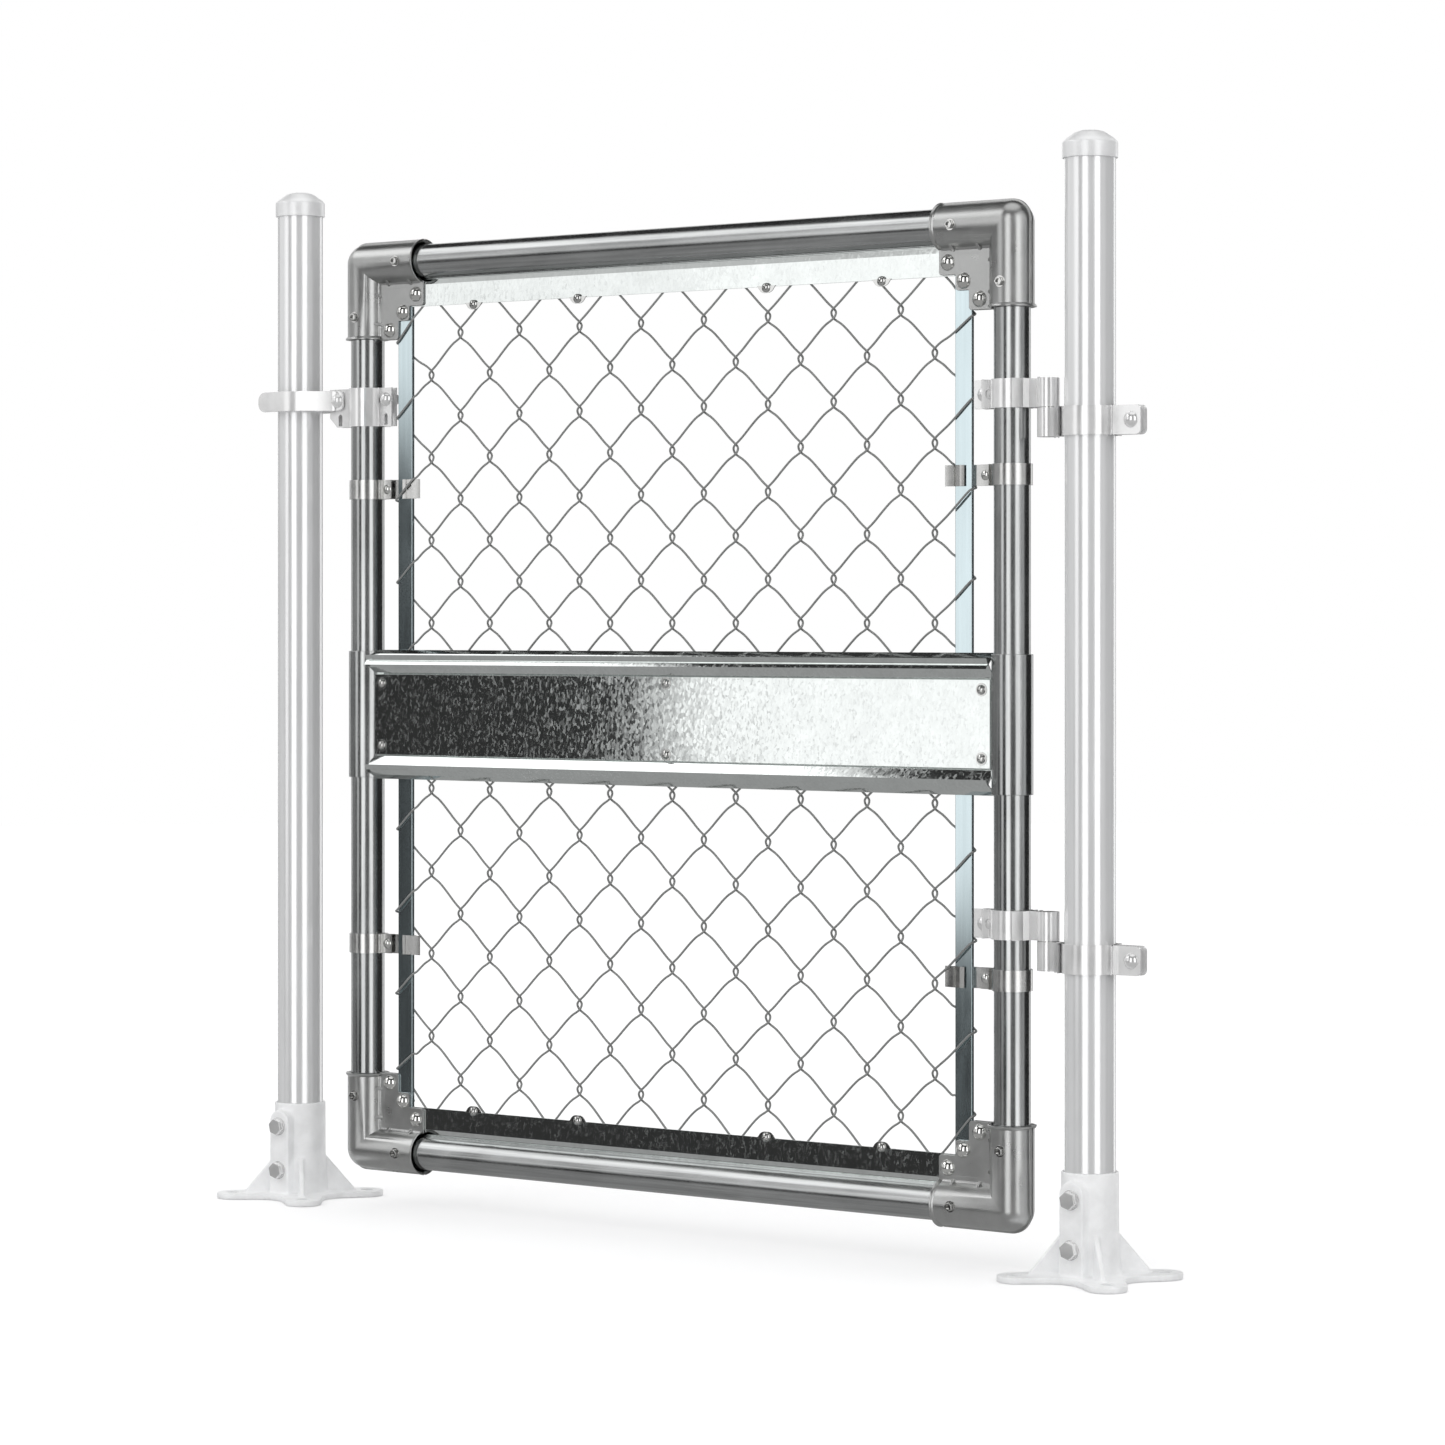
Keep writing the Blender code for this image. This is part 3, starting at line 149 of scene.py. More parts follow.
# Tension bands: their lug's plane and reach, the bolt's place, and the lip hooked round the bar
BAND_LUG_Y = 0.0012
BAND_LUG_REACH = 0.034
BAND_BOLT_X = 0.0285
BAND_LIP = 0.0075

# Ribbed cross channel: its web's plane and half height, its ribs' half height and its bends
CHANNEL_WEB = -0.0076
CHANNEL_WEB_HALF = 0.0425
CHANNEL_RIB_HALF = 0.0565
CHANNEL_BEND = 0.0014

# Hinge straps: their lugs' plane and reach, the bolt's place, the lugs' bends and the barrel
STRAP_LUG_Y = 0.0045
STRAP_REACH = {"gate": 0.038, "post": 0.058}
STRAP_BOLT_FROM_END = 0.0105
LUG_BEND = 0.0015
BARREL_RADIUS = 0.0105

# Latch clamp: its lugs' plane and reach, its bolt, slot and cut corner, and the fork's bolt
CLAMP_SHEET = 0.002
CLAMP_LUG_Y = 0.0035
CLAMP_POST_LUG = 0.030
CLAMP_MESH_LUG = 0.018
CLAMP_BOLT = 0.010
CLAMP_SLOT = 0.0155
CLAMP_CORNER = 0.010
PIVOT_FROM_STILE = 0.036

# Drop fork: its sheet and height, its gap to the post, its reach past it, its root, its tips and its bow
FORK_SHEET = 0.0025
FORK_TALL = 0.021
FORK_GAP = 0.0052
FORK_PAST_POST = 0.031
FORK_ROOT = 0.008
FORK_TIP_BEND = 0.013
FORK_BOW = 0.0014

# Woven mesh: from the stiles and the rails to the outer nodes, and the diamonds each way from the middle
MESH_SIDE_GAP = 0.0876
MESH_END_GAP = 0.0345
MESH_COLUMNS = 8
MESH_ROWS = 10
BAR_HALF_WIDTH = half_width("tension_bar_hinge")
BAR_HALF_THICK = (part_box("tension_bar_hinge")[1].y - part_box("tension_bar_hinge")[0].y) / 2
BAR_CENTRE = STILE_X["hinge"] - middle("tension_bar_hinge").x
DIAMOND_HALF_WIDTH = ((STILE_X["hinge"] - STILE_X["latch"]) / 2 - MESH_SIDE_GAP) / MESH_COLUMNS
DIAMOND_HALF_HEIGHT = ((RAIL_Z["top"] - RAIL_Z["bottom"]) / 2 - MESH_END_GAP) / MESH_ROWS
MESH_CENTRE_Z = (RAIL_Z["top"] + RAIL_Z["bottom"]) / 2

# How far a leg of the zigzag bows upwards, and how far a wire stands off the bar beside a band
LEG_BOW = 0.002
BAND_STAND_OFF = 0.0018

# Camera that matches the photograph's view
CAMERA_PLACE = (2.173, -3.448, 0.607)
CAMERA_TURN = 37.0
CAMERA_LENS = 109.5
CAMERA_SHIFT = -0.0689


def length(name, description, default):
    """A property for a length in metres."""
    return bpy.props.FloatProperty(name=name, description=description, default=default, unit="LENGTH",
                                   precision=4)


def base_colour(name, description, default):
    """A property for a base colour."""
    return bpy.props.FloatVectorProperty(name=name, description=description, default=default,
                                         subtype="COLOR")


class GateSizes(bpy.types.PropertyGroup):
    """Sizes of the fine shapes."""

    wire: length("Wire", "Thickness of the woven wire", 0.0022)
    eye: length("Eye", "How far a wire hooks past its neighbour's line", 0.0024)
    weave: length("Weave", "How far the wires stand in front of and behind the mesh's plane", 0.0014)
    shell_sheet: length("Corner sheet", "Thickness of the pressed corner fittings", 0.0012)
    band_sheet: length("Band sheet", "Thickness of the tension bands", 0.0015)
    strap_sheet: length("Strap sheet", "Thickness of the hinge straps", 0.0025)
    channel_sheet: length("Channel sheet", "Thickness of the ribbed cross channel", 0.0015)
    cast_grain: length("Cast grain", "Voxel size that blends the cast bases' forms", 0.0011)


class GateColours(bpy.types.PropertyGroup):
    """Base colours of the finishes."""

    tube: base_colour("Frame tube", "Galvanised frame tube", (0.50, 0.51, 0.51))
    post: base_colour("Post", "Pale galvanised post", (0.88, 0.885, 0.89))
    cast: base_colour("Cast base", "Cast floor base", (0.95, 0.955, 0.96))
    shell: base_colour("Corner fitting", "Satin zinc corner fitting", (0.55, 0.555, 0.55))
    sheet: base_colour("Spangled sheet", "Spangled cross rail and strips", (0.79, 0.82, 0.81))
    bar: base_colour("Tension bar", "Zinc plated tension bar", (0.60, 0.70, 0.73))
    band: base_colour("Tension band", "Zinc plated band", (0.70, 0.70, 0.69))
    strap: base_colour("Strap", "Pale hinge strap and latch", (0.88, 0.88, 0.88))
    bolt: base_colour("Bolt", "Bright bolt head", (0.82, 0.82, 0.80))
    screw: base_colour("Screw", "Dull screw head", (0.66, 0.66, 0.65))
    wire: base_colour("Wire", "Galvanised woven wire", (0.30, 0.305, 0.30))


# Shaping helpers


def in_scene(name, data):
    """A new object with its data, in the scene."""
    obj = bpy.data.objects.new(name, data)
    bpy.context.scene.collection.objects.link(obj)
    return obj


def linked(name, bm):
    """Make an object from a shape and put it in the scene."""
    mesh = bpy.data.meshes.new(name)
    bm.to_mesh(mesh)
    bm.free()
    return in_scene(name, mesh)


def finished_shape(obj):
    """The shape that an object has after its modifiers; the object is taken away again."""
    bpy.context.view_layer.update()
    graph = bpy.context.evaluated_depsgraph_get()
    result = bpy.data.meshes.new_from_object(obj.evaluated_get(graph), depsgraph=graph)
    bm = bmesh.new()
    bm.from_mesh(result)
    bpy.data.meshes.remove(result)
    bpy.data.objects.remove(obj, do_unlink=True)
    return bm


def points_in(parts):
    """The points among the parts that an operator made."""
    return [part for part in parts if isinstance(part, bmesh.types.BMVert)]


def swept(bm, parts, centre, axis, angle, steps):
    """Sweep parts of a shape round an axis, less than a full turn."""
    return bmesh.ops.spin(bm, geom=parts, cent=centre, axis=axis, dvec=(0, 0, 0), angle=angle, steps=steps,
                          use_merge=False, use_normal_flip=False, use_duplicate=False)


def bevel_points(bm, verts, size, segments=4):
    """Round the corners of a path or an outline."""
    bmesh.ops.bevel(bm, geom=verts, offset=size, offset_type="OFFSET", affect="VERTICES", segments=segments,
                    profile=0.5, material=-1, clamp_overlap=True)


def soften(bm, width, segments=2, angle=40):
    """Round the sharp edges of a closed shape."""
    sharp = [edge for edge in bm.edges
             if edge.is_manifold and edge.calc_face_angle(0.0) > math.radians(angle)]
    if sharp:
        bmesh.ops.bevel(bm, geom=sharp, offset=width, offset_type="OFFSET", affect="EDGES",
                        segments=segments, profile=0.5, material=-1, clamp_overlap=True)
    return bm


def chain(points, closed=False):
    """A bmesh with a chain of edges through (x, y, z, rounding) points."""
    bm = bmesh.new()
    verts = [bm.verts.new(point[:3]) for point in points]
    for pair in zip(verts, verts[1:]):
        bm.edges.new(pair)
    if closed:
        bm.edges.new((verts[-1], verts[0]))
    for vert, point in zip(verts, points):
        if len(point) > 3 and point[3] > 0:
            bevel_points(bm, [vert], point[3])
    return bm


def draw(start, moves, axis):
    """A bmesh with a path of straight runs to a point and arcs of some degrees round a centre."""
    bm = bmesh.new()
    tip = bm.verts.new(start)
    for target, degrees in moves:
        if degrees == 0:
            tip = bmesh.ops.extrude_vert_indiv(bm, verts=[tip])["verts"][0]
            tip.co = target
        else:
            steps = max(2, round(abs(degrees) / ARC_STEP))
            made = swept(bm, [tip], target, axis, math.radians(degrees), steps)
            tip = points_in(made["geom_last"])[0]
    return bm


def round_bends(bm, size):
    """Round a path's bends that turn by more than 20 degrees."""
    bends = []
    for vert in bm.verts:
        if len(vert.link_edges) == 2:
            first, second = (edge.other_vert(vert).co - vert.co for edge in vert.link_edges)
            if math.pi - first.angle(second) > math.radians(20):
                bends.append(vert)
    for vert in bends:
        bevel_points(bm, [vert], size, 6)
    return bm


def spin_round(bm, steps=TURN_STEPS):
    """Turn a profile in the XZ plane a full turn round Z."""
    bmesh.ops.spin(bm, geom=bm.verts[:] + bm.edges[:], cent=(0, 0, 0), axis=Z_AXIS, dvec=(0, 0, 0),
                   angle=2 * math.pi, steps=steps, use_merge=True, use_normal_flip=False,
                   use_duplicate=False)
    bmesh.ops.remove_doubles(bm, verts=bm.verts, dist=0.000002)
    bmesh.ops.recalc_face_normals(bm, faces=bm.faces)
    return bm


def turned(profile, closed=False, steps=TURN_STEPS):
    """A profile of (radius, height, rounding) points turned round Z."""
    return spin_round(chain([(point[0], 0, *point[1:]) for point in profile], closed), steps)


def put(bm, place, direction=Z_AXIS):
    """Turn a shape from Z to a direction and move it to a place."""
    turn = Vector(direction).to_track_quat("Z", "Y").to_matrix().to_4x4()
    bmesh.ops.transform(bm, matrix=Matrix.Translation(place) @ turn, verts=bm.verts)
    return bm


def tube(start, end, radius, wall):
    """A round tube between two places on its axis."""
    run = Vector(end) - Vector(start)
    soft = wall / 4
    profile = [(radius, 0, soft), (radius, run.length, soft), (radius - wall, run.length, soft),
               (radius - wall, 0, soft)]
    return put(turned(profile, True, TUBE_STEPS), start, run)


def extruded(bm, move):
    """Sweep a path into an open surface."""
    made = bmesh.ops.extrude_edge_only(bm, edges=bm.edges[:])
    bmesh.ops.translate(bm, vec=move, verts=points_in(made["geom"]))
    return bm


def evaluated(bm, *steps):
    """A shape after modifiers, each given as its type and its settings."""
    obj = linked("draft", bm)
    for kind, settings in steps:
        modifier = obj.modifiers.new(kind, kind)
        for name, value in settings.items():
            setattr(modifier, name, value)
    mesh = obj.data
    bm = finished_shape(obj)
    bpy.data.meshes.remove(mesh)
    return bm


def thickened(bm, thickness, edge):
    """An open surface with its sheet thickness, half to each side, and softened edges."""
    wall = {"thickness": thickness, "offset": 0.0, "use_even_offset": True, "use_quality_normals": True}
    return soften(evaluated(bm, ("SOLIDIFY", wall)), edge, 2, 55)


def cut(bm, *tools):
    """Cut a closed shape with closed tools."""
    for tool in tools:
        bmesh.ops.recalc_face_normals(tool, faces=tool.faces)
        cutter = linked("tool", tool)
        mesh = cutter.data
        bm = evaluated(bm, ("BOOLEAN", {"operation": "DIFFERENCE", "solver": "EXACT", "object": cutter}))
        bpy.data.objects.remove(cutter, do_unlink=True)
        bpy.data.meshes.remove(mesh)
        if not bm.faces:
            raise RuntimeError("a cut left nothing of its shape")
    return bm


def add(bm, other, move=None, keep=False):
    """Put another shape into a shape, moved or mirrored by a matrix."""
    part = other.copy() if keep else other
    if move is not None:
        bmesh.ops.transform(part, matrix=move, verts=part.verts)
        if move.determinant() < 0:
            bmesh.ops.reverse_faces(part, faces=part.faces)
    mesh = bpy.data.meshes.new("part")
    part.to_mesh(mesh)
    part.free()
    bm.from_mesh(mesh)
    bpy.data.meshes.remove(mesh)
    return bm


def placed(other, move):
    """A copy of a shape, moved or mirrored by a matrix."""
    return add(bmesh.new(), other, move, keep=True)


def mirrored(place, factor, axis):
    """A matrix that mirrors along an axis where the factor is -1, and then moves to a place."""
    return Matrix.Translation(place) @ Matrix.Scale(factor, 4, axis)


def plate(outline, low, high, edge=0.0):
    """A flat outline of (x, y, rounding) corners, thickened along Z."""
    bm = bmesh.new()
    verts = [bm.verts.new((point[0], point[1], low)) for point in outline]
    bm.faces.new(verts)
    for vert, point in zip(verts, outline):
        if len(point) > 2 and point[2] > 0:
            bevel_points(bm, [vert], point[2], 6)
    made = bmesh.ops.extrude_face_region(bm, geom=bm.faces[:])
    bmesh.ops.translate(bm, vec=(0, 0, high - low), verts=points_in(made["geom"]))
    bmesh.ops.recalc_face_normals(bm, faces=bm.faces)
    if edge > 0:
        soften(bm, edge)
    return bm


def block(low, high, edge=0.0):
    """A box between two corners."""
    low, high = Vector(low), Vector(high)
    bm = bmesh.new()
    bmesh.ops.create_cube(bm, size=1.0)
    bmesh.ops.scale(bm, vec=high - low, verts=bm.verts)
    bmesh.ops.translate(bm, vec=(low + high) / 2, verts=bm.verts)
    if edge > 0:
        soften(bm, edge)
    return bm


def rod(radius, length, steps=SMALL_STEPS, edge=0.0):
    """A round bar standing on the origin."""
    return turned([(0, 0), (radius, 0, edge), (radius, length, edge), (0, length)], steps=steps)


def dome(radius, rise, skirt):
    """A carriage bolt's head: a shallow dome with a short straight rim below Z = 0."""
    bend = (radius ** 2 + rise ** 2) / (2 * rise)
    spread = math.degrees(math.asin(min(1.0, radius / bend)))
    bm = draw((0, 0, rise), [((0, 0, rise - bend), spread), ((radius, 0, -skirt), 0),
                             ((0, 0, -skirt), 0)], Y_AXIS)
    return spin_round(bm, SMALL_STEPS)


def hexagon(radius, height, edge=0.0006):
    """A nut or a hexagon head standing on the origin."""
    bm = bmesh.new()
    bmesh.ops.create_cone(bm, cap_ends=True, segments=6, radius1=radius, radius2=radius, depth=height)
    bmesh.ops.translate(bm, vec=(0, 0, height / 2), verts=bm.verts)
    return soften(bm, edge)


def screw_head(radius, rise):
    """A pan head screw with a cross recess."""
    head = dome(radius, rise, rise / 3)
    arm = radius * 0.62
    slot = radius * 0.13
    for turn in (math.pi / 4, -math.pi / 4):
        tool = block((-arm, -slot, rise * 0.35), (arm, slot, 2 * rise))
        bmesh.ops.rotate(tool, cent=(0, 0, 0), matrix=Matrix.Rotation(turn, 3, "Z"), verts=tool.verts)
        head = cut(head, tool)
    return head


# Finishes


def node(tree, kind, settings=None, **inputs):
    """A shader node with its settings, and its inputs set or linked by name."""
    made = tree.nodes.new(kind)
    for name, value in (settings or {}).items():
        setattr(made, name, value)
    for name, value in inputs.items():
        socket = made.inputs[int(name[1:])] if name[0] == "i" and name[1:].isdigit() else made.inputs[name]
        if isinstance(value, bpy.types.NodeSocket):
            tree.links.new(value, socket)
        else:
            socket.default_value = value
    return made


def coordinates(tree, stretch=(1, 1, 1)):
    """Object coordinates, squeezed along the axes that a pattern runs along."""
    source = node(tree, "ShaderNodeTexCoord").outputs["Object"]
    return node(tree, "ShaderNodeMapping", None, Vector=source, Scale=stretch).outputs["Vector"]


def noise(tree, scale, vector, detail=3.0, distortion=0.0):
    """A noise pattern's value."""
    made = node(tree, "ShaderNodeTexNoise", None, Vector=vector, Scale=scale, Detail=detail,
                Distortion=distortion)
    return made.outputs["Fac"]


def span_of(tree, value, low, high, start=0.3, end=0.7):
    """A pattern's value brought between two levels."""
    made = node(tree, "ShaderNodeMapRange", None, Value=value)
    for name, level in (("From Min", start), ("From Max", end), ("To Min", low), ("To Max", high)):
        made.inputs[name].default_value = level
    return made.outputs["Result"]


def math_of(tree, operation, first, second, kind="ShaderNodeMath"):
    """A math node's value."""
    return node(tree, kind, {"operation": operation}, i0=first, i1=second).outputs[0]


def scaled(tree, colour, value):
    """A colour or a vector times a value."""
    return node(tree, "ShaderNodeVectorMath", {"operation": "SCALE"}, i0=colour, Scale=value).outputs[0]


def bumped(tree, shader, value, distance, strength=1.0):
    """Raise the surface by a pattern."""
    made = node(tree, "ShaderNodeBump", None, Height=value, Strength=strength, Distance=distance)
    tree.links.new(made.outputs["Normal"], shader.inputs["Normal"])


def coated(tree, shader, colour, tone, rough):
    """Give the surface a colour times a tone about 1, and a roughness."""
    tree.links.new(scaled(tree, colour, tone), shader.inputs["Base Color"])
    tree.links.new(rough, shader.inputs["Roughness"])


def surface(name, roughness, metallic):
    """A Principled material."""
    material = bpy.data.materials.new(name)
    material.use_nodes = True
    shader = material.node_tree.nodes["Principled BSDF"]
    shader.inputs["Roughness"].default_value = roughness
    shader.inputs["Metallic"].default_value = metallic
    return material, material.node_tree, shader


def drawn_tube(name, colour, along, contrast=0.16, metallic=1.0, rough=(0.16, 0.25), ripple=0.00006):
    """Zinc tube with the long faint streaks of drawing, and a mottled bloom."""
    def squeezed(part):
        return coordinates(tree, tuple(part if axis == along else 1.0 for axis in "XYZ"))

    material, tree, shader = surface(name, rough[0], metallic)
    lines = noise(tree, 260.0, squeezed(0.02), 4.0)
    bloom = noise(tree, 38.0, squeezed(0.3), 5.0, 0.6)
    tone = math_of(tree, "ADD", span_of(tree, lines, -contrast, contrast),
                   span_of(tree, bloom, 1 - contrast, 1 + contrast / 2))
    coated(tree, shader, colour, tone, span_of(tree, bloom, *rough))
    bumped(tree, shader, noise(tree, 90.0, squeezed(0.06), 2.0), ripple)
    return material


def cast_metal(name, colour):
    """Sand cast alloy: pitted and matt."""
    material, tree, shader = surface(name, 0.5, 0.2)
    grain = noise(tree, 900.0, coordinates(tree), 4.0)
    cloud = noise(tree, 60.0, coordinates(tree), 3.0)
    coated(tree, shader, colour, span_of(tree, cloud, 0.93, 1.04), span_of(tree, grain, 0.42, 0.6))
    bumped(tree, shader, grain, 0.0004, 0.7)
    return material


def satin_zinc(name, colour, rough, metallic, sparkle, grain=0.00002):
    """Pressed and plated sheet with a fine sparkle."""
    material, tree, shader = surface(name, rough[0], metallic)
    cloud = noise(tree, 45.0, coordinates(tree), 4.0, 0.5)
    fleck = noise(tree, 1600.0, coordinates(tree), 2.0)
    tone = math_of(tree, "ADD", span_of(tree, cloud, 0.92, 1.05), span_of(tree, fleck, -sparkle, sparkle))
    coated(tree, shader, colour, tone, span_of(tree, cloud, *rough))
    bumped(tree, shader, fleck, grain)
    return material


def spangled(name, colour):
    """Hot dipped sheet: each crystal mirrors a slightly other way."""
    vectors = "ShaderNodeVectorMath"
    rough, tilt = (0.035, 0.14), 0.006
    material, tree, shader = surface(name, rough[0], 1.0)
    shaken = math_of(tree, "ADD", coordinates(tree, (1.0, 1.0, 0.6)),
                     scaled(tree, (0.004, 0.004, 0.004), noise(tree, 220.0, coordinates(tree), 2.0)), vectors)
    crystals = node(tree, "ShaderNodeTexVoronoi", None, Vector=shaken, Scale=460.0, Randomness=1.0)
    parts = node(tree, "ShaderNodeSeparateXYZ", None, Vector=crystals.outputs["Color"])
    cloud = noise(tree, 30.0, coordinates(tree), 4.0, 0.8)
    tone = math_of(tree, "ADD", span_of(tree, parts.outputs["X"], -0.03, 0.03, 0, 1),
                   span_of(tree, cloud, 0.95, 1.03))
    coated(tree, shader, colour, tone, span_of(tree, parts.outputs["Y"], *rough, 0.45, 1))
    lean = math_of(tree, "SUBTRACT", crystals.outputs["Color"], (0.5, 0.5, 0.5), vectors)
    facing = node(tree, "ShaderNodeNewGeometry").outputs["Normal"]
    leaning = math_of(tree, "ADD", facing, scaled(tree, lean, tilt), vectors)
    level = node(tree, vectors, {"operation": "NORMALIZE"}, i0=leaning).outputs[0]
    tree.links.new(level, shader.inputs["Normal"])
    return material


def all_finishes(colours):
    """Every finish by its short name."""
    return {
        "tube_up": drawn_tube("frame_tube_upright", colours.tube, "Z"),
        "tube_level": drawn_tube("frame_tube_level", colours.tube, "X"),
        "post": drawn_tube("pale_post_tube", colours.post, "Z", 0.03, 0.42, (0.15, 0.22)),
        "cap": satin_zinc("pale_pressed_cap", colours.post, (0.3, 0.4), 0.3, 0.02),
        "cast": cast_metal("cast_base_alloy", colours.cast),
        "shell": satin_zinc("satin_corner_zinc", colours.shell, (0.27, 0.34), 1.0, 0.05),
        "sheet": spangled("spangled_zinc_sheet", colours.sheet),
        "bar": drawn_tube("zinc_tension_bar", colours.bar, "Z", 0.05, 0.95, (0.06, 0.10), 0.00002),
        "band": satin_zinc("plated_tension_band", colours.band, (0.18, 0.28), 1.0, 0.04, 0.00001),
        "strap": satin_zinc("pale_strap_zinc", colours.strap, (0.16, 0.24), 0.5, 0.02, 0.000005),
        "bolt": satin_zinc("bright_bolt_zinc", colours.bolt, (0.04, 0.08), 1.0, 0.02, 0.000004),
        "pale_bolt": satin_zinc("pale_bolt_zinc", colours.strap, (0.12, 0.18), 0.62, 0.02, 0.000005),
        "screw": satin_zinc("dull_screw_zinc", colours.screw, (0.06, 0.12), 1.0, 0.03, 0.000004),
        "wire": satin_zinc("drawn_mesh_wire", colours.wire, (0.42, 0.5), 0.5, 0.03),
    }


FINISHES = {}


def dress(name, bm, finish, body, nodes=(), angle=50):
    """Turn a shape into a finished piece that rides on a body."""
    obj = linked(name, bm)
    mesh = obj.data
    mesh.materials.append(FINISHES[finish])
    mesh.shade_smooth()
    mesh.set_sharp_from_angle(angle=math.radians(angle))
    # Large flat faces keep their own direction beside the small rounds
    shading = obj.modifiers.new("even_shading", "WEIGHTED_NORMAL")
    shading.keep_sharp = True
    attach(obj, body)
    if nodes:
        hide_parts(*nodes)


# Pieces


def make_posts():
    """Post tubes and their pressed caps."""
    for side in POSTS:
        x = POST_X[side]
        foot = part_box(side + "_post")[0].z
        low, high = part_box(side + "_post_cap")
        post = tube((x, 0, foot), (x, 0, high.z - CAP_CROWN - CAP_ROOM), POST_RADIUS, POST_WALL)
        dress("post_tube_" + side, post, "post", "posts", [side + "_post"])
        outer = (high.x - low.x) / 2
        inner = POST_RADIUS + CLEAR
        top = high.z
        wall = outer - inner
        shoulder = top - CAP_CROWN
        hem = shoulder - CAP_SKIRT
        profile = [(0, top), (0.0115, top, 0.005), (outer - 0.0022, shoulder + 0.0018, 0.0028),
                   (outer, shoulder - 0.001, 0.001), (outer, hem, 0.0005), (inner, hem, 0.0004),
                   (inner, shoulder - 0.0015, 0.001), (0.0105, top - wall, 0.004), (0, top - wall)]
        cap = put(turned(profile, steps=TUBE_STEPS), (x, 0, 0))
        dress("pressed_cap_" + side, cap, "cap", "posts", [side + "_post_cap"])


def cast_base_form(grain):
    """One cast floor base at the origin, its forms blended as in the mould."""
    reach = BASE_HOLE + BASE_TIP * math.sqrt(2)
    outline = []
    for quarter in range(4):
        turn = Matrix.Rotation(quarter * math.pi / 2, 2)
        for x, y, soft in ((BASE_WAIST, 0, 0.022), (reach, BASE_HOLE, 0.016), (BASE_HOLE, reach, 0.016)):
            spot = turn @ Vector((x, y))
            outline.append((spot.x, spot.y, soft))
    bm = plate(outline, 0.0, BASE_PLATE)
    socket = [(0.0242, 0.003), (0.0300, 0.003), (0.0282, 0.013), (0.0269, 0.030), (0.0267, 0.101, 0.001),
              (0.0242, 0.101, 0.0008)]
    add(bm, turned(socket, True))
    arch = [(-0.013, 0.003), (0.013, 0.003), (0.013, 0.094, 0.0125), (-0.013, 0.094, 0.0125)]
    add(bm, plate(arch, 0.0243, BASE_BOSS, 0.0012), UPRIGHT)
    rib = [(0.0252, 0.003), (0.058, 0.003), (0.058, 0.0075), (0.0252, 0.046)]
    for quarter in range(4):
        add(bm, plate(rib, -0.0025, 0.0025, 0.0008),
            Matrix.Rotation(math.radians(45 + 90 * quarter), 4, "Z") @ UPRIGHT)
    bm = evaluated(bm, ("REMESH", {"mode": "VOXEL", "voxel_size": grain}))
    for turn in range(2):
        bmesh.ops.smooth_vert(bm, verts=bm.verts, factor=0.5, use_axis_x=True, use_axis_y=True,
                              use_axis_z=True)
    for vert in bm.verts:
        vert.co.z = max(vert.co.z, 0.0)
    bm = evaluated(bm, ("DECIMATE", {"ratio": 0.35}))
    bore = put(rod(POST_RADIUS + CLEAR, 0.12, TUBE_STEPS), (0, 0, BASE_PLATE))
    holes = bmesh.new()
    for sx in (-1, 1):
        for sy in (-1, 1):
            add(holes, put(rod(0.0068, 0.03), (sx * BASE_HOLE, sy * BASE_HOLE, -0.01)))
    return cut(bm, bore, holes)


def make_bases(grain):
    """Cast floor bases with their clamping bolts."""
    form = cast_base_form(grain)
    for side in POSTS:
        bm = placed(form, Matrix.Translation((POST_X[side], 0, 0)))
        dress("cast_base_" + side, bm, "cast", "posts", [side + "_post_base"], 40)
        for level in LEVELS:
            name = "%s_base_bolt_%s" % (side, level)
            low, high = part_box(name)
            height = (low.z + high.z) / 2
            head_y = -BASE_BOSS - CLEAR
            head = hexagon(0.0088, 0.0058, 0.0008)
            bmesh.ops.rotate(head, cent=(0, 0, 0), matrix=Matrix.Rotation(math.radians(12), 3, "Z"),
                             verts=head.verts)
            bolt = put(head, (POST_X[side], head_y - 0.0007, height), FRONT)
            add(bolt, put(rod(0.0092, 0.0007), (POST_X[side], head_y, height), FRONT))
            add(bolt, put(rod(0.005, high.y - head_y), (POST_X[side], head_y, height), BACK))
            dress("clamping_bolt_%s_%s" % (side, level), bolt, "pale_bolt", "posts", [name])
    form.free()


def make_frame():
    """Stiles and rails of the swinging frame."""
    for side in POSTS:
        low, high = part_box(side + "_stile")
        stile = tube((STILE_X[side], 0, low.z), (STILE_X[side], 0, high.z), TUBE_RADIUS, FRAME_WALL)
        dress("frame_stile_" + side, stile, "tube_up", "gate", [side + "_stile"])
    for level, z in RAIL_Z.items():
        low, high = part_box(level + "_rail")
        rail = tube((low.x, 0, z), (high.x, 0, z), TUBE_RADIUS, FRAME_WALL)
        dress("frame_rail_" + level, rail, "tube_level", "gate", [level + "_rail"])


def corner_matrices():
    """Each corner's name and its place, turned about Y from the top latch corner."""
    places = (("latch_top", STILE_X["latch"], RAIL_Z["top"]), ("hinge_top", STILE_X["hinge"], RAIL_Z["top"]),
              ("hinge_bottom", STILE_X["hinge"], RAIL_Z["bottom"]),
              ("latch_bottom", STILE_X["latch"], RAIL_Z["bottom"]))
    for quarter, (name, x, z) in enumerate(places):
        yield name, Matrix.Translation((x, 0, z)) @ Matrix.Rotation(quarter * math.pi / 2, 4, "Y")


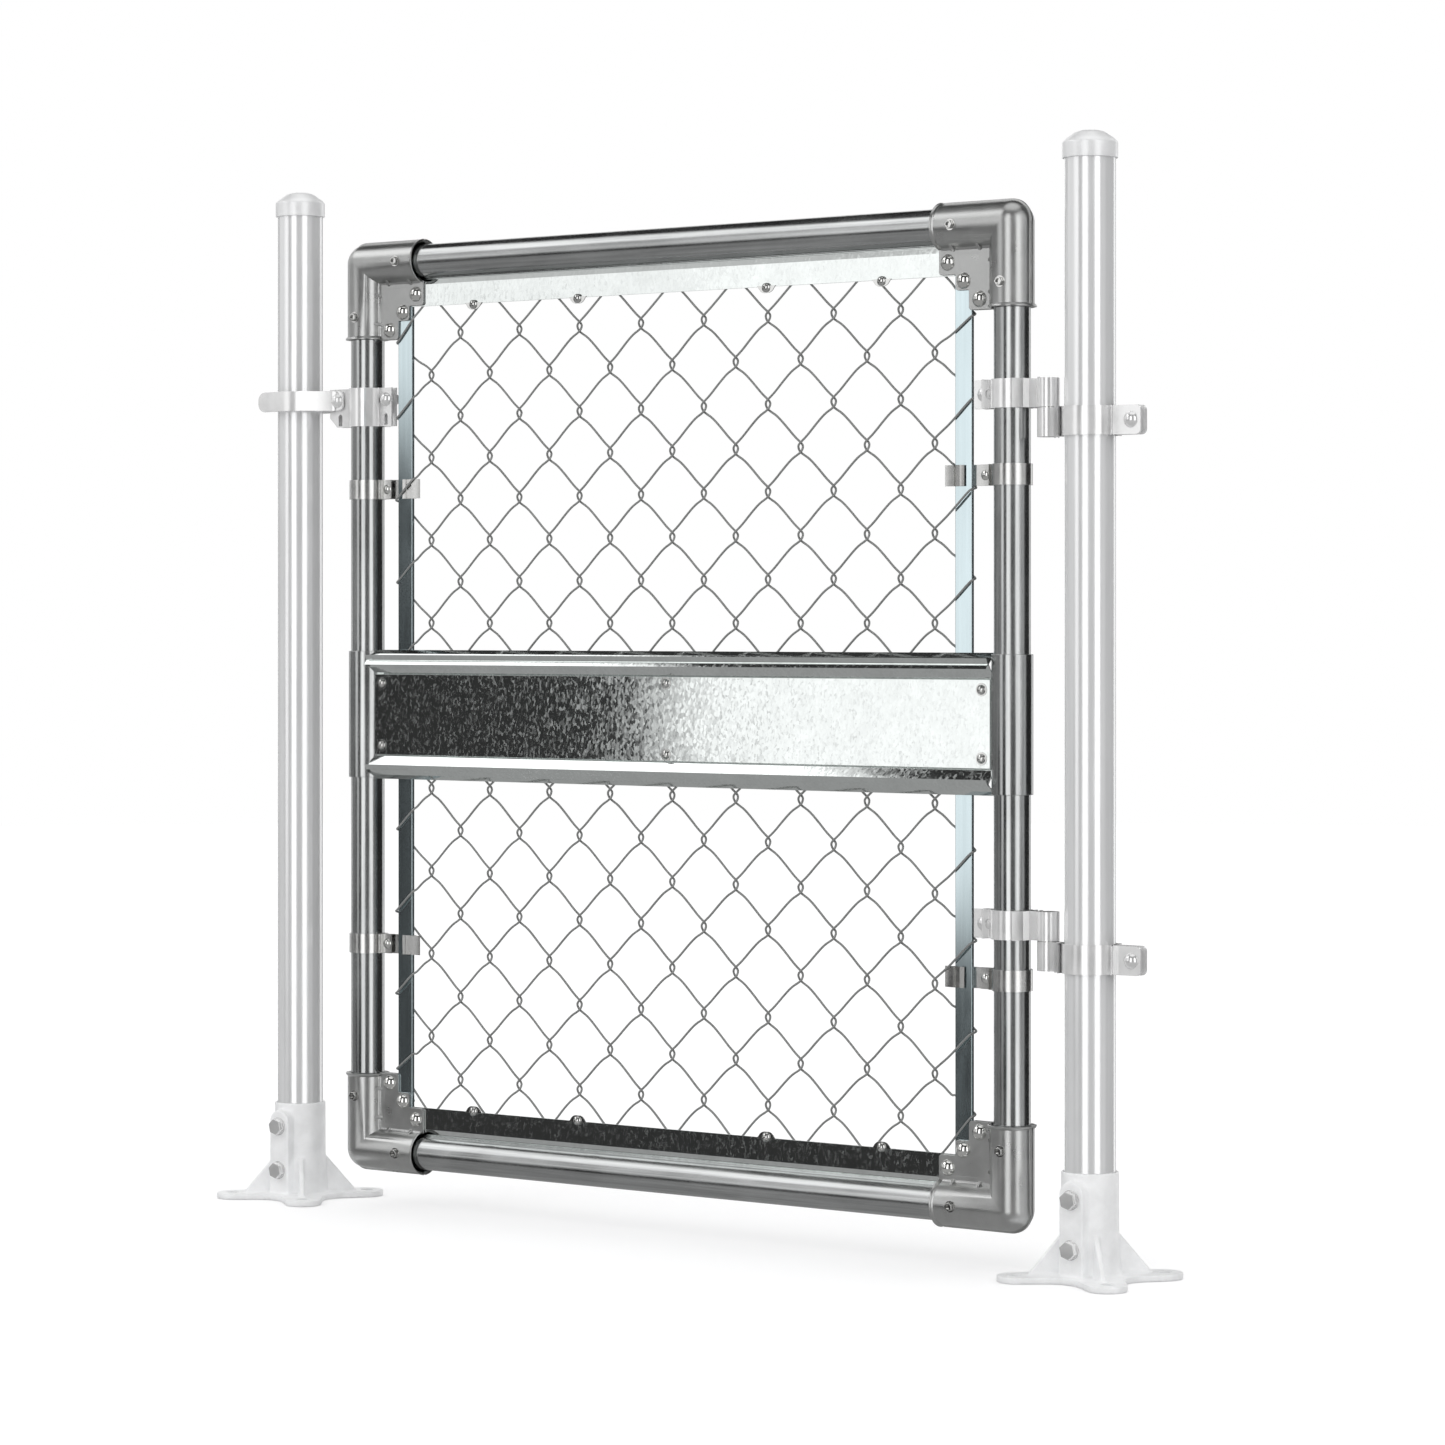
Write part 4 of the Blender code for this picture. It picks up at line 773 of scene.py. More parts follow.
def half_shell(sheet):
    """Front half of a pressed corner fitting, its legs running to +X and -Z from the origin."""
    bend = SHELL_RADIUS - sheet / 2
    seam = sheet / 2 + CLEAR / 2
    flat = GUSSET_NEAR + GUSSET_SHEET - sheet / 2
    tuck = math.degrees(math.acos((flat + SHELL_FILLET) / (bend + SHELL_FILLET)))
    spread = 90 - math.degrees(math.asin(seam / bend))
    run = (SHELL_LEG - SHELL_FLARE, 0, 0)
    # Outer part of the section: the seam's lip and the quarter round down to the front
    lip = (0, -seam, SHELL_RADIUS + SHELL_LIP)
    outer_moves = [((0, -seam, math.sqrt(bend ** 2 - seam ** 2)), 0), ((0, 0, 0), spread)]
    form = bmesh.new()
    for leg in LEGS:
        add(form, extruded(draw(lip, outer_moves, X_AXIS), run), leg)
    turn = draw(lip, outer_moves, X_AXIS)
    swept(turn, turn.verts[:] + turn.edges[:], (0, 0, 0), Y_AXIS, -math.pi / 2, 16)
    add(form, turn)
    # Inner part: from the front round to the gusset's plane, mitred on the corner's diagonal
    corner_z = -math.sqrt((bend + SHELL_FILLET) ** 2 - (flat + SHELL_FILLET) ** 2)
    inner_moves = [((0, 0, 0), tuck), ((0, -(flat + SHELL_FILLET), corner_z), -tuck),
                   ((0, -flat, corner_z - 0.004), 0)]
    for leg in LEGS:
        inner = extruded(draw((0, -bend, 0), inner_moves, X_AXIS), run)
        bmesh.ops.bisect_plane(inner, geom=inner.verts[:] + inner.edges[:] + inner.faces[:], dist=0.000001,
                               plane_co=(0, 0, 0), plane_no=(1, 0, 1), clear_inner=True, clear_outer=False)
        add(form, inner, leg)
    # Flared mouths
    for leg in LEGS:
        rim = chain([(SHELL_LEG - SHELL_FLARE, -bend, 0), (SHELL_LEG - 0.0016, -bend - 0.0017, 0, 0.0006),
                     (SHELL_LEG, -bend - 0.0022, 0)])
        bmesh.ops.rotate(rim, cent=(0, 0, 0), matrix=Matrix.Rotation(math.radians(-spread), 3, "X"),
                         verts=rim.verts)
        swept(rim, rim.verts[:] + rim.edges[:], (0, 0, 0), X_AXIS, math.radians(spread + tuck + 4), 26)
        add(form, rim, leg)
    bmesh.ops.remove_doubles(form, verts=form.verts, dist=0.00002)
    bmesh.ops.recalc_face_normals(form, faces=form.faces)
    shell = thickened(form, sheet, 0.0002)
    # Stepped gusset with rounded corners, and the darts pressed across its bend
    short, medium, long = GUSSET_STEPS
    near = SHELL_RADIUS - 0.0006
    outline = [(near, -near), (long, -near), (long, -short, 0.003), (medium, -short, 0.001),
               (medium, -medium, 0.003), (short, -medium, 0.001), (short, -long, 0.003), (near, -long)]
    add(shell, plate(outline, GUSSET_NEAR, GUSSET_NEAR + GUSSET_SHEET - 0.00005, 0.0004), UPRIGHT)
    for leg in LEGS:
        for along in DARTS_FROM_CORNER:
            add(shell, plate(DART_OUTLINE, along - DART_HALF, along + DART_HALF, 0.0006), leg @ CROSSWISE)
    bmesh.ops.recalc_face_normals(shell, faces=shell.faces)
    return shell


def make_corners(sizes):
    """Pressed corner fittings with their bolts, nuts and screws."""
    form = half_shell(sizes.shell_sheet)
    heads, nuts, screws = bmesh.new(), bmesh.new(), bmesh.new()
    head, nut = dome(*CORNER_HEAD), hexagon(*CORNER_NUT)
    add(nut, rod(0.003, 0.0065, edge=0.0004))
    screw = rod(0.0056, 0.0008, edge=0.0002)
    add(screw, cut(hexagon(0.0044, 0.0034, 0.0005), put(rod(0.0026, 0.01), (0, 0, 0.0012))),
        Matrix.Translation((0, 0, 0.0009)))
    face = GUSSET_NEAR + GUSSET_SHEET
    for name, matrix in corner_matrices():
        for half, mirror in (("front", 1), ("back", -1)):
            node_name = "corner_%s_%s" % (name, half)
            bm = placed(form, matrix @ mirrored((0, 0, 0), mirror, Y_AXIS))
            dress("pressed_" + node_name, bm, "shell", "gate", [node_name], 40)
        for x, z in zip(CORNER_BOLTS, reversed(CORNER_BOLTS)):
            add(heads, head, matrix @ Matrix.Translation((x, -face, -z)) @ UPRIGHT, keep=True)
            add(nuts, nut, matrix @ Matrix.Translation((x, face, -z)) @ UPRIGHT.inverted(), keep=True)
        for x, z in ((SCREW_FROM_CORNER, 0), (0, -SCREW_FROM_CORNER)):
            spot = Matrix.Translation((x, -SHELL_RADIUS + CLEAR, z)) @ UPRIGHT
            add(screws, screw, matrix @ spot, keep=True)
    for shape in (form, head, nut, screw):
        shape.free()
    dress("corner_bolt_heads", heads, "bolt", "gate")
    dress("corner_bolt_nuts", nuts, "bolt", "gate")
    dress("corner_leg_screws", screws, "screw", "gate")


def make_strips():
    """Folded strips that hold the mesh's top and bottom ends, with their clips."""
    clips = bmesh.new()
    for level, inward in (("bottom", 1), ("top", -1)):
        low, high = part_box(level + "_strip")
        edge = low.z if inward > 0 else high.z
        far = edge + inward * STRIP_TALL
        near = edge + inward * STRIP_SHEET / 2
        front, back = low.y + STRIP_SHEET / 2, high.y
        path = chain([(low.x, front, far), (low.x, front, near, 0.0012), (low.x, back, near)])
        strip = thickened(extruded(path, (high.x - low.x, 0, 0)), STRIP_SHEET, 0.0002)
        dress(level + "_mesh_strip", strip, "sheet", "gate", [level + "_strip"])
        for offset in CLIPS:
            x = GATE_MID_X + offset
            ear = plate([(-0.011, 0.001), (0.011, 0.001), (0.0062, -0.006, 0.004), (-0.0062, -0.006, 0.004)],
                        -low.y, -low.y + 0.001, 0.0002)
            add(clips, ear, mirrored((x, 0, far), -inward, Z_AXIS) @ UPRIGHT)
            head = screw_head(0.0047, 0.0028)
            add(clips, put(head, (x, low.y - 0.0018, far + inward * 0.0008), FRONT))
    bmesh.ops.recalc_face_normals(clips, faces=clips.faces)
    dress("strip_clips", clips, "screw", "gate")


def make_tension(sizes):
    """Tension bars and the bands that hook round them and the stiles."""
    for side in POSTS:
        low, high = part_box("tension_bar_" + side)
        dress("flat_tension_bar_" + side, block(low, high, 0.0006), "bar", "gate", ["tension_bar_" + side])
    sheet = sizes.band_sheet
    bend = TUBE_RADIUS + CLEAR + sheet / 2
    lug_angle = math.degrees(math.asin(BAND_LUG_Y / bend))
    back = BAR_HALF_THICK + CLEAR + sheet / 2
    back_angle = math.degrees(math.asin(back / bend))
    inner = BAR_CENTRE + BAR_HALF_WIDTH + CLEAR + sheet / 2
    moves = [((bend * math.cos(math.radians(lug_angle)), -BAND_LUG_Y, 0), 0),
             ((0, 0, 0), back_angle + lug_angle - 360), ((inner, back, 0), 0), ((inner, -back, 0), 0),
             ((inner - BAND_LIP, -back, 0), 0)]
    bolts = bmesh.new()
    for side in POSTS:
        for level in LEVELS:
            name = "tension_band_%s_%s" % (side, level)
            low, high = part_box(name)
            path = round_bends(draw((BAND_LUG_REACH, -BAND_LUG_Y, 0), moves, Z_AXIS), 0.0012)
            band = thickened(extruded(path, (0, 0, high.z - low.z)), sheet, 0.0003)
            bm = add(bmesh.new(), band, mirrored((STILE_X[side], 0, low.z), INWARD[side], X_AXIS))
            dress("hooked_" + name, bm, "band", "gate", [name])
            x, z = STILE_X[side] + INWARD[side] * BAND_BOLT_X, (low.z + high.z) / 2
            add(bolts, put(dome(*BAND_HEAD), (x, -BAND_LUG_Y - sheet / 2, z), FRONT))
            add(bolts, put(rod(0.0028, 0.011, edge=0.0003), (x, 0, z), BACK))
            add(bolts, put(hexagon(*BAND_NUT), (x, back + sheet / 2, z), BACK))
    dress("tension_band_bolts", bolts, "bolt", "gate")


def wire_points(column, sizes):
    """Control points of one zigzag wire, from its bottom knuckle to its top one."""
    wire = sizes.wire / 2
    points = []
    for row in range(-MESH_ROWS, MESH_ROWS + 1):
        at_left = (column + row) % 2 == 0
        out = -1 if at_left else 1
        node_column = column if at_left else column + 1
        x = GATE_MID_X + node_column * DIAMOND_HALF_WIDTH
        z = MESH_CENTRE_Z + row * DIAMOND_HALF_HEIGHT
        if abs(node_column) > MESH_COLUMNS:
            points += bar_turn(x - out * DIAMOND_HALF_WIDTH, z, out, wire)
            continue
        flat = abs(row) == MESH_ROWS
        plane = 0.0008 if flat else 0.0003
        depth = -out * (0.0002 if flat else sizes.weave)
        steps = [(-DIAMOND_HALF_HEIGHT / 2 + LEG_BOW, DIAMOND_HALF_WIDTH / 2), (-0.0098, 0.0094),
                 (-0.0056, 0.0016), (-0.0026, -sizes.eye), (0.0026, -sizes.eye), (0.0062, 0.0012),
                 (0.0118, 0.0084)]
        if row == -MESH_ROWS:
            steps = steps[3:]
        if row == MESH_ROWS:
            steps = steps[:5]
        for rise, inset in steps:
            side = depth if rise < 0 else -depth
            points.append((x - out * inset, plane + side, z + rise))
    return points


def bar_turn(node_x, z, out, wire):
    """Control points that take a wire round a tension bar, in front of it and back behind it."""
    side = "hinge" if out > 0 else "latch"
    bar_x = STILE_X[side] + INWARD[side] * BAR_CENTRE
    outer = bar_x + out * (BAR_HALF_WIDTH + CLEAR + wire)
    inner = bar_x - out * (BAR_HALF_WIDTH + 0.004)
    reach = GUSSET_STEPS[-1] + 4 * wire
    turn_z = min(max(z, RAIL_Z["bottom"] + reach), RAIL_Z["top"] - reach)
    bands = [middle("tension_band_hinge_" + level).z for level in LEVELS]
    near_band = any(abs(z - height) < DIAMOND_HALF_HEIGHT + 0.02 for height in bands)
    offset = BAR_HALF_THICK + CLEAR + wire + (BAND_STAND_OFF if near_band else 0)
    share = (inner - node_x) / (outer - node_x)
    points = []
    for end in (-1, 1):
        node_z = z + end * DIAMOND_HALF_HEIGHT
        depth = end * out * offset
        leg = [(inner, depth, node_z + (turn_z - node_z) * share),
               (outer - out * 0.003, depth, turn_z + end * 0.0025), (outer, depth, turn_z + end * 0.0008)]
        points += leg if end < 0 else leg[::-1]
    return points


def make_fabric(sizes):
    """Woven mesh: each zigzag wire hooks through the next one and round the tension bars."""
    curve = bpy.data.curves.new("woven_wire", "CURVE")
    curve.dimensions = "3D"
    curve.bevel_depth = sizes.wire / 2
    curve.bevel_resolution = 3
    curve.resolution_u = 3
    curve.use_fill_caps = True
    for column in range(-MESH_COLUMNS - 1, MESH_COLUMNS + 1):
        points = wire_points(column, sizes)
        spline = curve.splines.new("NURBS")
        spline.points.add(len(points) - 1)
        for point, place in zip(spline.points, points):
            point.co = (*place, 1)
        spline.order_u = 3
        spline.use_endpoint_u = True
    bm = finished_shape(in_scene("woven_wire", curve))
    bmesh.ops.remove_doubles(bm, verts=bm.verts, dist=0.000001)
    dress("woven_mesh", bm, "wire", "gate", ["chain_link_fabric"], 60)


def make_cross_rail(sizes):
    """Sleeves, ribbed channel and its bare cover plate with screws."""
    for side in POSTS:
        low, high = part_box("rail_sleeve_" + side)
        radius = half_width("rail_sleeve_" + side)
        sleeve = tube((STILE_X[side], 0, low.z), (STILE_X[side], 0, high.z), radius,
                      radius - TUBE_RADIUS - CLEAR)
        dress("stile_sleeve_" + side, sleeve, "tube_up", "gate", ["rail_sleeve_" + side])
    low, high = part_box("cross_channel")
    half_edge = (high.z - low.z) / 2
    back = high.y - sizes.channel_sheet / 2
    rib = low.y + sizes.channel_sheet
    section = [(back, half_edge), (rib, CHANNEL_RIB_HALF), (CHANNEL_WEB, CHANNEL_WEB_HALF)]
    points = [(low.x, y, CROSS_Z + z, 0.0 if z == half_edge else CHANNEL_BEND) for y, z in section]
    points += [(x, y, 2 * CROSS_Z - z, soft) for x, y, z, soft in reversed(points)]
    channel = thickened(extruded(chain(points), (high.x - low.x, 0, 0)), sizes.channel_sheet, 0.0003)
    plate_low, plate_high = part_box("cross_plate")
    cover = block(plate_low, plate_high, 0.0004)
    for side in POSTS:
        sleeve = put(rod(half_width("rail_sleeve_hinge") + CLEAR, 0.3, TUBE_STEPS),
                     (STILE_X[side], 0, CROSS_Z - 0.15))
        channel = cut(channel, sleeve.copy())
        cover = cut(cover, sleeve)
    dress("ribbed_cross_channel", channel, "sheet", "gate", ["cross_channel"])
    dress("bare_cover_plate", cover, "sheet", "gate", ["cross_plate"])
    screws = bmesh.new()
    screw = rod(0.0062, 0.0004, edge=0.00015)
    add(screw, screw_head(0.0047, 0.0024), Matrix.Translation((0, 0, 0.0008)))
    for offset, rise in PLATE_SCREWS:
        for side in (-1, 1):
            spot = Matrix.Translation((GATE_MID_X + offset, plate_low.y, CROSS_Z + side * rise)) @ UPRIGHT
            add(screws, screw, spot, keep=True)
    screw.free()
    dress("cover_plate_screws", screws, "screw", "gate")


def strap(pipe_radius, distance, sheet, tall, reach):
    """A hinge strap with its pipe on Z, its lugs to -X and its barrel at a distance to +X."""
    half = sheet / 2
    bend = pipe_radius + CLEAR + half
    neck = half + 0.0002
    roll = BARREL_RADIUS - half
    lug_angle, neck_angle = (math.degrees(math.asin(part / bend)) for part in (STRAP_LUG_Y, neck))
    roll_angle = math.degrees(math.asin(neck / roll))
    edge = bend * math.cos(math.radians(lug_angle))
    moves = [((-edge, -STRAP_LUG_Y, 0), 0), ((0, 0, 0), 180 - lug_angle - neck_angle),
             ((distance - roll * math.cos(math.radians(roll_angle)), -neck, 0), 0),
             ((distance, 0, 0), 360 - 2 * roll_angle),
             ((bend * math.cos(math.radians(neck_angle)), neck, 0), 0),
             ((0, 0, 0), 180 - lug_angle - neck_angle), ((-reach, STRAP_LUG_Y, 0), 0)]
    wrap = extruded(round_bends(draw((-reach, -STRAP_LUG_Y, 0), moves, Z_AXIS), LUG_BEND), (0, 0, tall))
    bevel_points(wrap, [vert for vert in wrap.verts if vert.co.x < -reach + NEARLY], 0.005, 5)
    return thickened(wrap, sheet, 0.0004)


def strap_bolt(bm, x, z, face):
    """Carriage bolt and nut through a strap's lugs, whose faces stand at -face and +face."""
    add(bm, put(dome(*STRAP_HEAD), (x, -face, z), FRONT))
    add(bm, put(rod(0.004, 2 * face + 0.008, edge=0.0005), (x, -face + 0.0005, z), BACK))
    add(bm, put(hexagon(*STRAP_NUT), (x, face, z), BACK))


def make_hinges(sizes):
    """Hinge straps on the stile and the post, their pins and bolts."""
    sheet = sizes.strap_sheet
    for owner, body, pipe_x, radius in (("gate", "gate", STILE_X["hinge"], TUBE_RADIUS),
                                        ("post", "posts", POST_X["hinge"], POST_RADIUS)):
        reach = STRAP_REACH[owner]
        towards = 1 if HINGE_X > pipe_x else -1
        bolts = bmesh.new()
        for level in LEVELS:
            name = "%s_strap_%s" % (owner, level)
            low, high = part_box(name)
            bm = add(bmesh.new(), strap(radius, abs(HINGE_X - pipe_x), sheet, high.z - low.z, reach),
                     mirrored((pipe_x, 0, low.z), towards, X_AXIS))
            dress("bent_" + name, bm, "strap", body, [name])
            strap_bolt(bolts, pipe_x - towards * (reach - STRAP_BOLT_FROM_END), (low.z + high.z) / 2,
                       STRAP_LUG_Y + sheet / 2)
        dress(owner + "_strap_bolts", bolts, "pale_bolt", body)
    for level in LEVELS:
        low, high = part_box("hinge_pin_" + level)
        pin = put(rod(half_width("hinge_pin_" + level), high.z - low.z, edge=0.0008), (HINGE_X, 0, low.z))
        dress("turning_pin_" + level, pin, "bolt", "posts", ["hinge_pin_" + level])


def make_clamp():
    """Clamp on the latch stile, with its bolt."""
    low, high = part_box("latch_clamp")
    bend = TUBE_RADIUS + CLEAR + CLAMP_SHEET / 2
    angle = math.degrees(math.asin(CLAMP_LUG_Y / bend))
    edge = bend * math.cos(math.radians(angle))
    post_end, mesh_end = bend + CLAMP_POST_LUG, bend + CLAMP_MESH_LUG
    moves = [((-edge, -CLAMP_LUG_Y, 0), 0), ((0, 0, 0), 180 - 2 * angle), ((mesh_end, -CLAMP_LUG_Y, 0), 0)]
    clamp = bmesh.new()
    for side in (-1, 1):
        path = round_bends(draw((-post_end, -CLAMP_LUG_Y, 0), moves, Z_AXIS), LUG_BEND)
        wrap = extruded(path, (0, 0, high.z - low.z))
        lower = [vert for vert in wrap.verts if vert.co.x < -post_end + NEARLY and vert.co.z < 0.001]
        bevel_points(wrap, lower, CLAMP_CORNER, 1)
        slots = bmesh.new()
        for x in (-bend - CLAMP_SLOT, bend + CLAMP_BOLT):
            slot = [(x - 0.00275, 0.0015, 0.001), (x + 0.00275, 0.0015, 0.001), (x + 0.00275, 0.0135, 0.0026),
                    (x - 0.00275, 0.0135, 0.0026)]
            add(slots, plate(slot, 0.0, 0.01), UPRIGHT)
        half = cut(thickened(wrap, CLAMP_SHEET, 0.0003), slots)
        add(clamp, half, mirrored((STILE_X["latch"], 0, low.z), -side, Y_AXIS))
    dress("ribbed_latch_clamp", clamp, "strap", "gate", ["latch_clamp"])
    bolt = bmesh.new()
    strap_bolt(bolt, STILE_X["latch"] + bend + CLAMP_BOLT, middle("latch_fork").z,
               CLAMP_LUG_Y + CLAMP_SHEET / 2)
    dress("clamp_bolt", bolt, "pale_bolt", "gate")


def make_fork():
    """Fork that drops round the latch post, with the bolt that it turns on."""
    pivot_x, pivot_z = STILE_X["latch"] - PIVOT_FROM_STILE, middle("latch_fork").z
    root_y = CLAMP_LUG_Y + CLAMP_SHEET / 2 + 0.0006 + FORK_SHEET / 2
    side_y = POST_RADIUS + FORK_GAP + FORK_SHEET / 2
    reach = pivot_x - POST_X["latch"]
    near = reach - POST_RADIUS - FORK_GAP
    far = reach + FORK_PAST_POST
    bow = (far - FORK_TIP_BEND - near) / 2
    bend = (bow ** 2 + FORK_BOW ** 2) / (2 * FORK_BOW)
    swing = 2 * math.degrees(math.asin(bow / bend))
    moves = [((-FORK_ROOT, -root_y, 0), 0), ((-near, -side_y, 0), 0),
             ((-near - bow, -side_y - FORK_BOW + bend, 0), -swing), ((-far, -side_y, 0), 0)]
    fork = bmesh.new()
    for side in (-1, 1):
        arm = extruded(draw((FORK_ROOT, -root_y, 0), moves, Z_AXIS), (0, 0, FORK_TALL))
        for end, share, segments in ((-far, 0.42, 6), (FORK_ROOT, 0.3, 4)):
            corners = [vert for vert in arm.verts if abs(vert.co.x - end) < NEARLY]
            bevel_points(arm, corners, FORK_TALL * share, segments)
        add(fork, thickened(arm, FORK_SHEET, 0.0004),
            mirrored((pivot_x, 0, pivot_z - FORK_TALL / 2), -side, Y_AXIS))
    strap_bolt(fork, pivot_x, pivot_z, root_y + FORK_SHEET / 2)
    dress("drop_fork", fork, "strap", "latch_fork", ["latch_fork"])


# Stage


FLOOR_RADIUS = 9.0
FLOOR_DROP = 0.0004
FLOOR_TONE = (0.75, 0.75, 0.755, 1)
FLOOR_GLOW = 0.30
WHITE = (1, 1, 1, 1)


def make_floor():
    """White floor that keeps the gate's soft shadow."""
    bm = bmesh.new()
    bmesh.ops.create_circle(bm, cap_ends=True, segments=96, radius=FLOOR_RADIUS)
    bmesh.ops.translate(bm, vec=(GATE_MID_X, 0, -FLOOR_DROP), verts=bm.verts)
    floor = linked("floor", bm)
    floor.visible_glossy = False
    material = bpy.data.materials.new("white_floor")
    material.use_nodes = True
    tree = material.node_tree
    tree.nodes.clear()
    seen = node(tree, "ShaderNodeLightPath").outputs["Is Camera Ray"]
    matt = node(tree, "ShaderNodeBsdfDiffuse", None, Color=FLOOR_TONE).outputs[0]
    level = math_of(tree, "MULTIPLY", seen, FLOOR_GLOW)
    glow = node(tree, "ShaderNodeEmission", None, Color=WHITE, Strength=level).outputs[0]
    both = node(tree, "ShaderNodeAddShader", None, i0=matt, i1=glow).outputs[0]
    node(tree, "ShaderNodeOutputMaterial", None, Surface=both)
    floor.data.materials.append(material)


# The studio that the metal mirrors. Each panel: its left and right turn about Z, its low and high edge, all
# in degrees, and its level. A turn of -90 is straight in front of the gate.
PANELS = (
    (-127.8, -111.0, -4.0, 30.0, 1.2), (-136.0, -126.8, 2.5, 8.0, 1.1), (-177.0, -126.8, 2.5, 30.0, 0.60),
    (-177.0, -126.8, 29.0, 50.7, 1.7),
    (-92.0, -67.0, -14.0, 42.0, 1.7), (-37.0, -12.0, -14.0, 42.0, 1.7), (-64.0, -40.0, -14.0, 30.0, 0.16),
    (-8.0, 15.0, -14.0, 30.0, 0.26), (74.0, 98.0, -14.0, 40.0, 1.1), (100.0, 124.0, -14.0, 30.0, 0.2),
    (126.0, 156.0, -14.0, 30.0, 1.1), (160.0, 180.0, -14.0, 30.0, 0.25), (-180.0, -138.0, -14.0, 2.5, 0.25))
PANEL_EDGE = 1.5
STUDIO_DARK = 0.035
STUDIO_FLOOR = 0.34
STUDIO_ROOF = 0.9
STUDIO_FLOOR_HEIGHT = -15.0
STUDIO_ROOF_HEIGHT = 62.0
STUDIO_BLEND = 6.0

# The world's level on matt surfaces and for the camera
MATT_LEVEL = 1.0
SEEN_LEVEL = 1.0

# Lamps: name, place, size and power
LAMPS = (("key", (-2.2, -3.0, 3.2), 2.4, 18.0), ("side", (3.0, -1.0, 2.2), 2.0, 8.0))


def step_up(tree, value, place, width):
    """A soft step from 0 to 1 round a place on a value's scale."""
    made = node(tree, "ShaderNodeMapRange", {"interpolation_type": "SMOOTHSTEP"}, Value=value)
    made.inputs["From Min"].default_value = place - width / 2
    made.inputs["From Max"].default_value = place + width / 2
    return made.outputs["Result"]


def between(tree, value, low, high):
    """1 between two places on a value's scale and 0 outside them, with soft edges."""
    return math_of(tree, "SUBTRACT", step_up(tree, value, low, PANEL_EDGE),
                   step_up(tree, value, high, PANEL_EDGE))


def mixed(tree, factor, first, second):
    """The first value where the factor is 0 and the second where it is 1."""
    return node(tree, "ShaderNodeMix", {"data_type": "FLOAT"}, i0=factor, i2=first, i3=second).outputs[0]


def make_world():
    """White to the camera, soft and even on matt surfaces, and a studio of panels in mirrors."""
    world = bpy.data.worlds.new("studio")
    bpy.context.scene.world = world
    world.use_nodes = True
    world.cycles.sampling_method = "NONE"
    tree = world.node_tree
    tree.nodes.clear()
    direction = node(tree, "ShaderNodeTexCoord").outputs["Generated"]
    parts = node(tree, "ShaderNodeSeparateXYZ", None, Vector=direction)
    turn = math_of(tree, "ARCTAN2", parts.outputs["Y"], parts.outputs["X"])
    turn = math_of(tree, "MULTIPLY", turn, 180 / math.pi)
    height = node(tree, "ShaderNodeMath", {"operation": "ARCSINE"}, i0=parts.outputs["Z"]).outputs[0]
    height = math_of(tree, "MULTIPLY", height, 180 / math.pi)
    studio = mixed(tree, step_up(tree, height, STUDIO_FLOOR_HEIGHT, STUDIO_BLEND), STUDIO_FLOOR, STUDIO_DARK)
    studio = mixed(tree, step_up(tree, height, STUDIO_ROOF_HEIGHT, STUDIO_BLEND), studio, STUDIO_ROOF)
    for left, right, low, high, level in PANELS:
        panel = math_of(tree, "MULTIPLY", between(tree, turn, left, right), between(tree, height, low, high))
        studio = math_of(tree, "MAXIMUM", studio, math_of(tree, "MULTIPLY", panel, level))
    path = node(tree, "ShaderNodeLightPath")
    matt = mixed(tree, path.outputs["Is Diffuse Ray"], studio, MATT_LEVEL)
    seen = mixed(tree, path.outputs["Is Camera Ray"], matt, SEEN_LEVEL)
    light = node(tree, "ShaderNodeBackground", None, Color=WHITE, Strength=seen).outputs[0]
    node(tree, "ShaderNodeOutputWorld", None, Surface=light)


def make_lamps():
    """Two soft lamps, from the front left above and from the right."""
    for name, place, size, power in LAMPS:
        lamp = bpy.data.lights.new(name, "AREA")
        lamp.shape = "SQUARE"
        lamp.size = size
        lamp.energy = power
        obj = in_scene(name, lamp)
        obj.location = place
        aim = Vector((GATE_MID_X, 0, 0.5)) - Vector(place)
        obj.rotation_euler = aim.to_track_quat("-Z", "Y").to_euler()
        obj.visible_glossy = False


def make_camera():
    """Level camera at the photograph's angle."""
    data = bpy.data.cameras.new("camera")
    data.sensor_width = 36.0
    data.lens = CAMERA_LENS
    data.shift_y = CAMERA_SHIFT
    data.clip_end = 50.0
    camera = in_scene("camera", data)
    camera.location = CAMERA_PLACE
    camera.rotation_euler = (math.pi / 2, 0, math.radians(CAMERA_TURN))
    bpy.context.scene.camera = camera
    bpy.context.scene.view_settings.view_transform = "Standard"


# Operators and panel


class GATE_OT_finishes(bpy.types.Operator):
    """Make the zinc, cast and wire finishes"""

    bl_idname = "gate.finishes"
    bl_label = "Finishes"

    def execute(self, context):
        FINISHES.update(all_finishes(context.scene.gate_colours))
        return {"FINISHED"}


class GATE_OT_posts(bpy.types.Operator):
    """Make the post tubes and their pressed caps"""

    bl_idname = "gate.posts"
    bl_label = "Posts and caps"

    def execute(self, context):
        make_posts()
        return {"FINISHED"}


class GATE_OT_bases(bpy.types.Operator):
    """Make the cast floor bases and their clamping bolts"""

    bl_idname = "gate.bases"
    bl_label = "Floor bases"

    def execute(self, context):
        make_bases(context.scene.gate_sizes.cast_grain)
        return {"FINISHED"}


class GATE_OT_frame(bpy.types.Operator):
    """Make the frame's stiles and rails"""

    bl_idname = "gate.frame"
    bl_label = "Frame tubes"

    def execute(self, context):
        make_frame()
        return {"FINISHED"}


class GATE_OT_corners(bpy.types.Operator):
    """Make the pressed corner fittings with their bolts and screws"""

    bl_idname = "gate.corners"
    bl_label = "Corner fittings"

    def execute(self, context):
        make_corners(context.scene.gate_sizes)
        return {"FINISHED"}


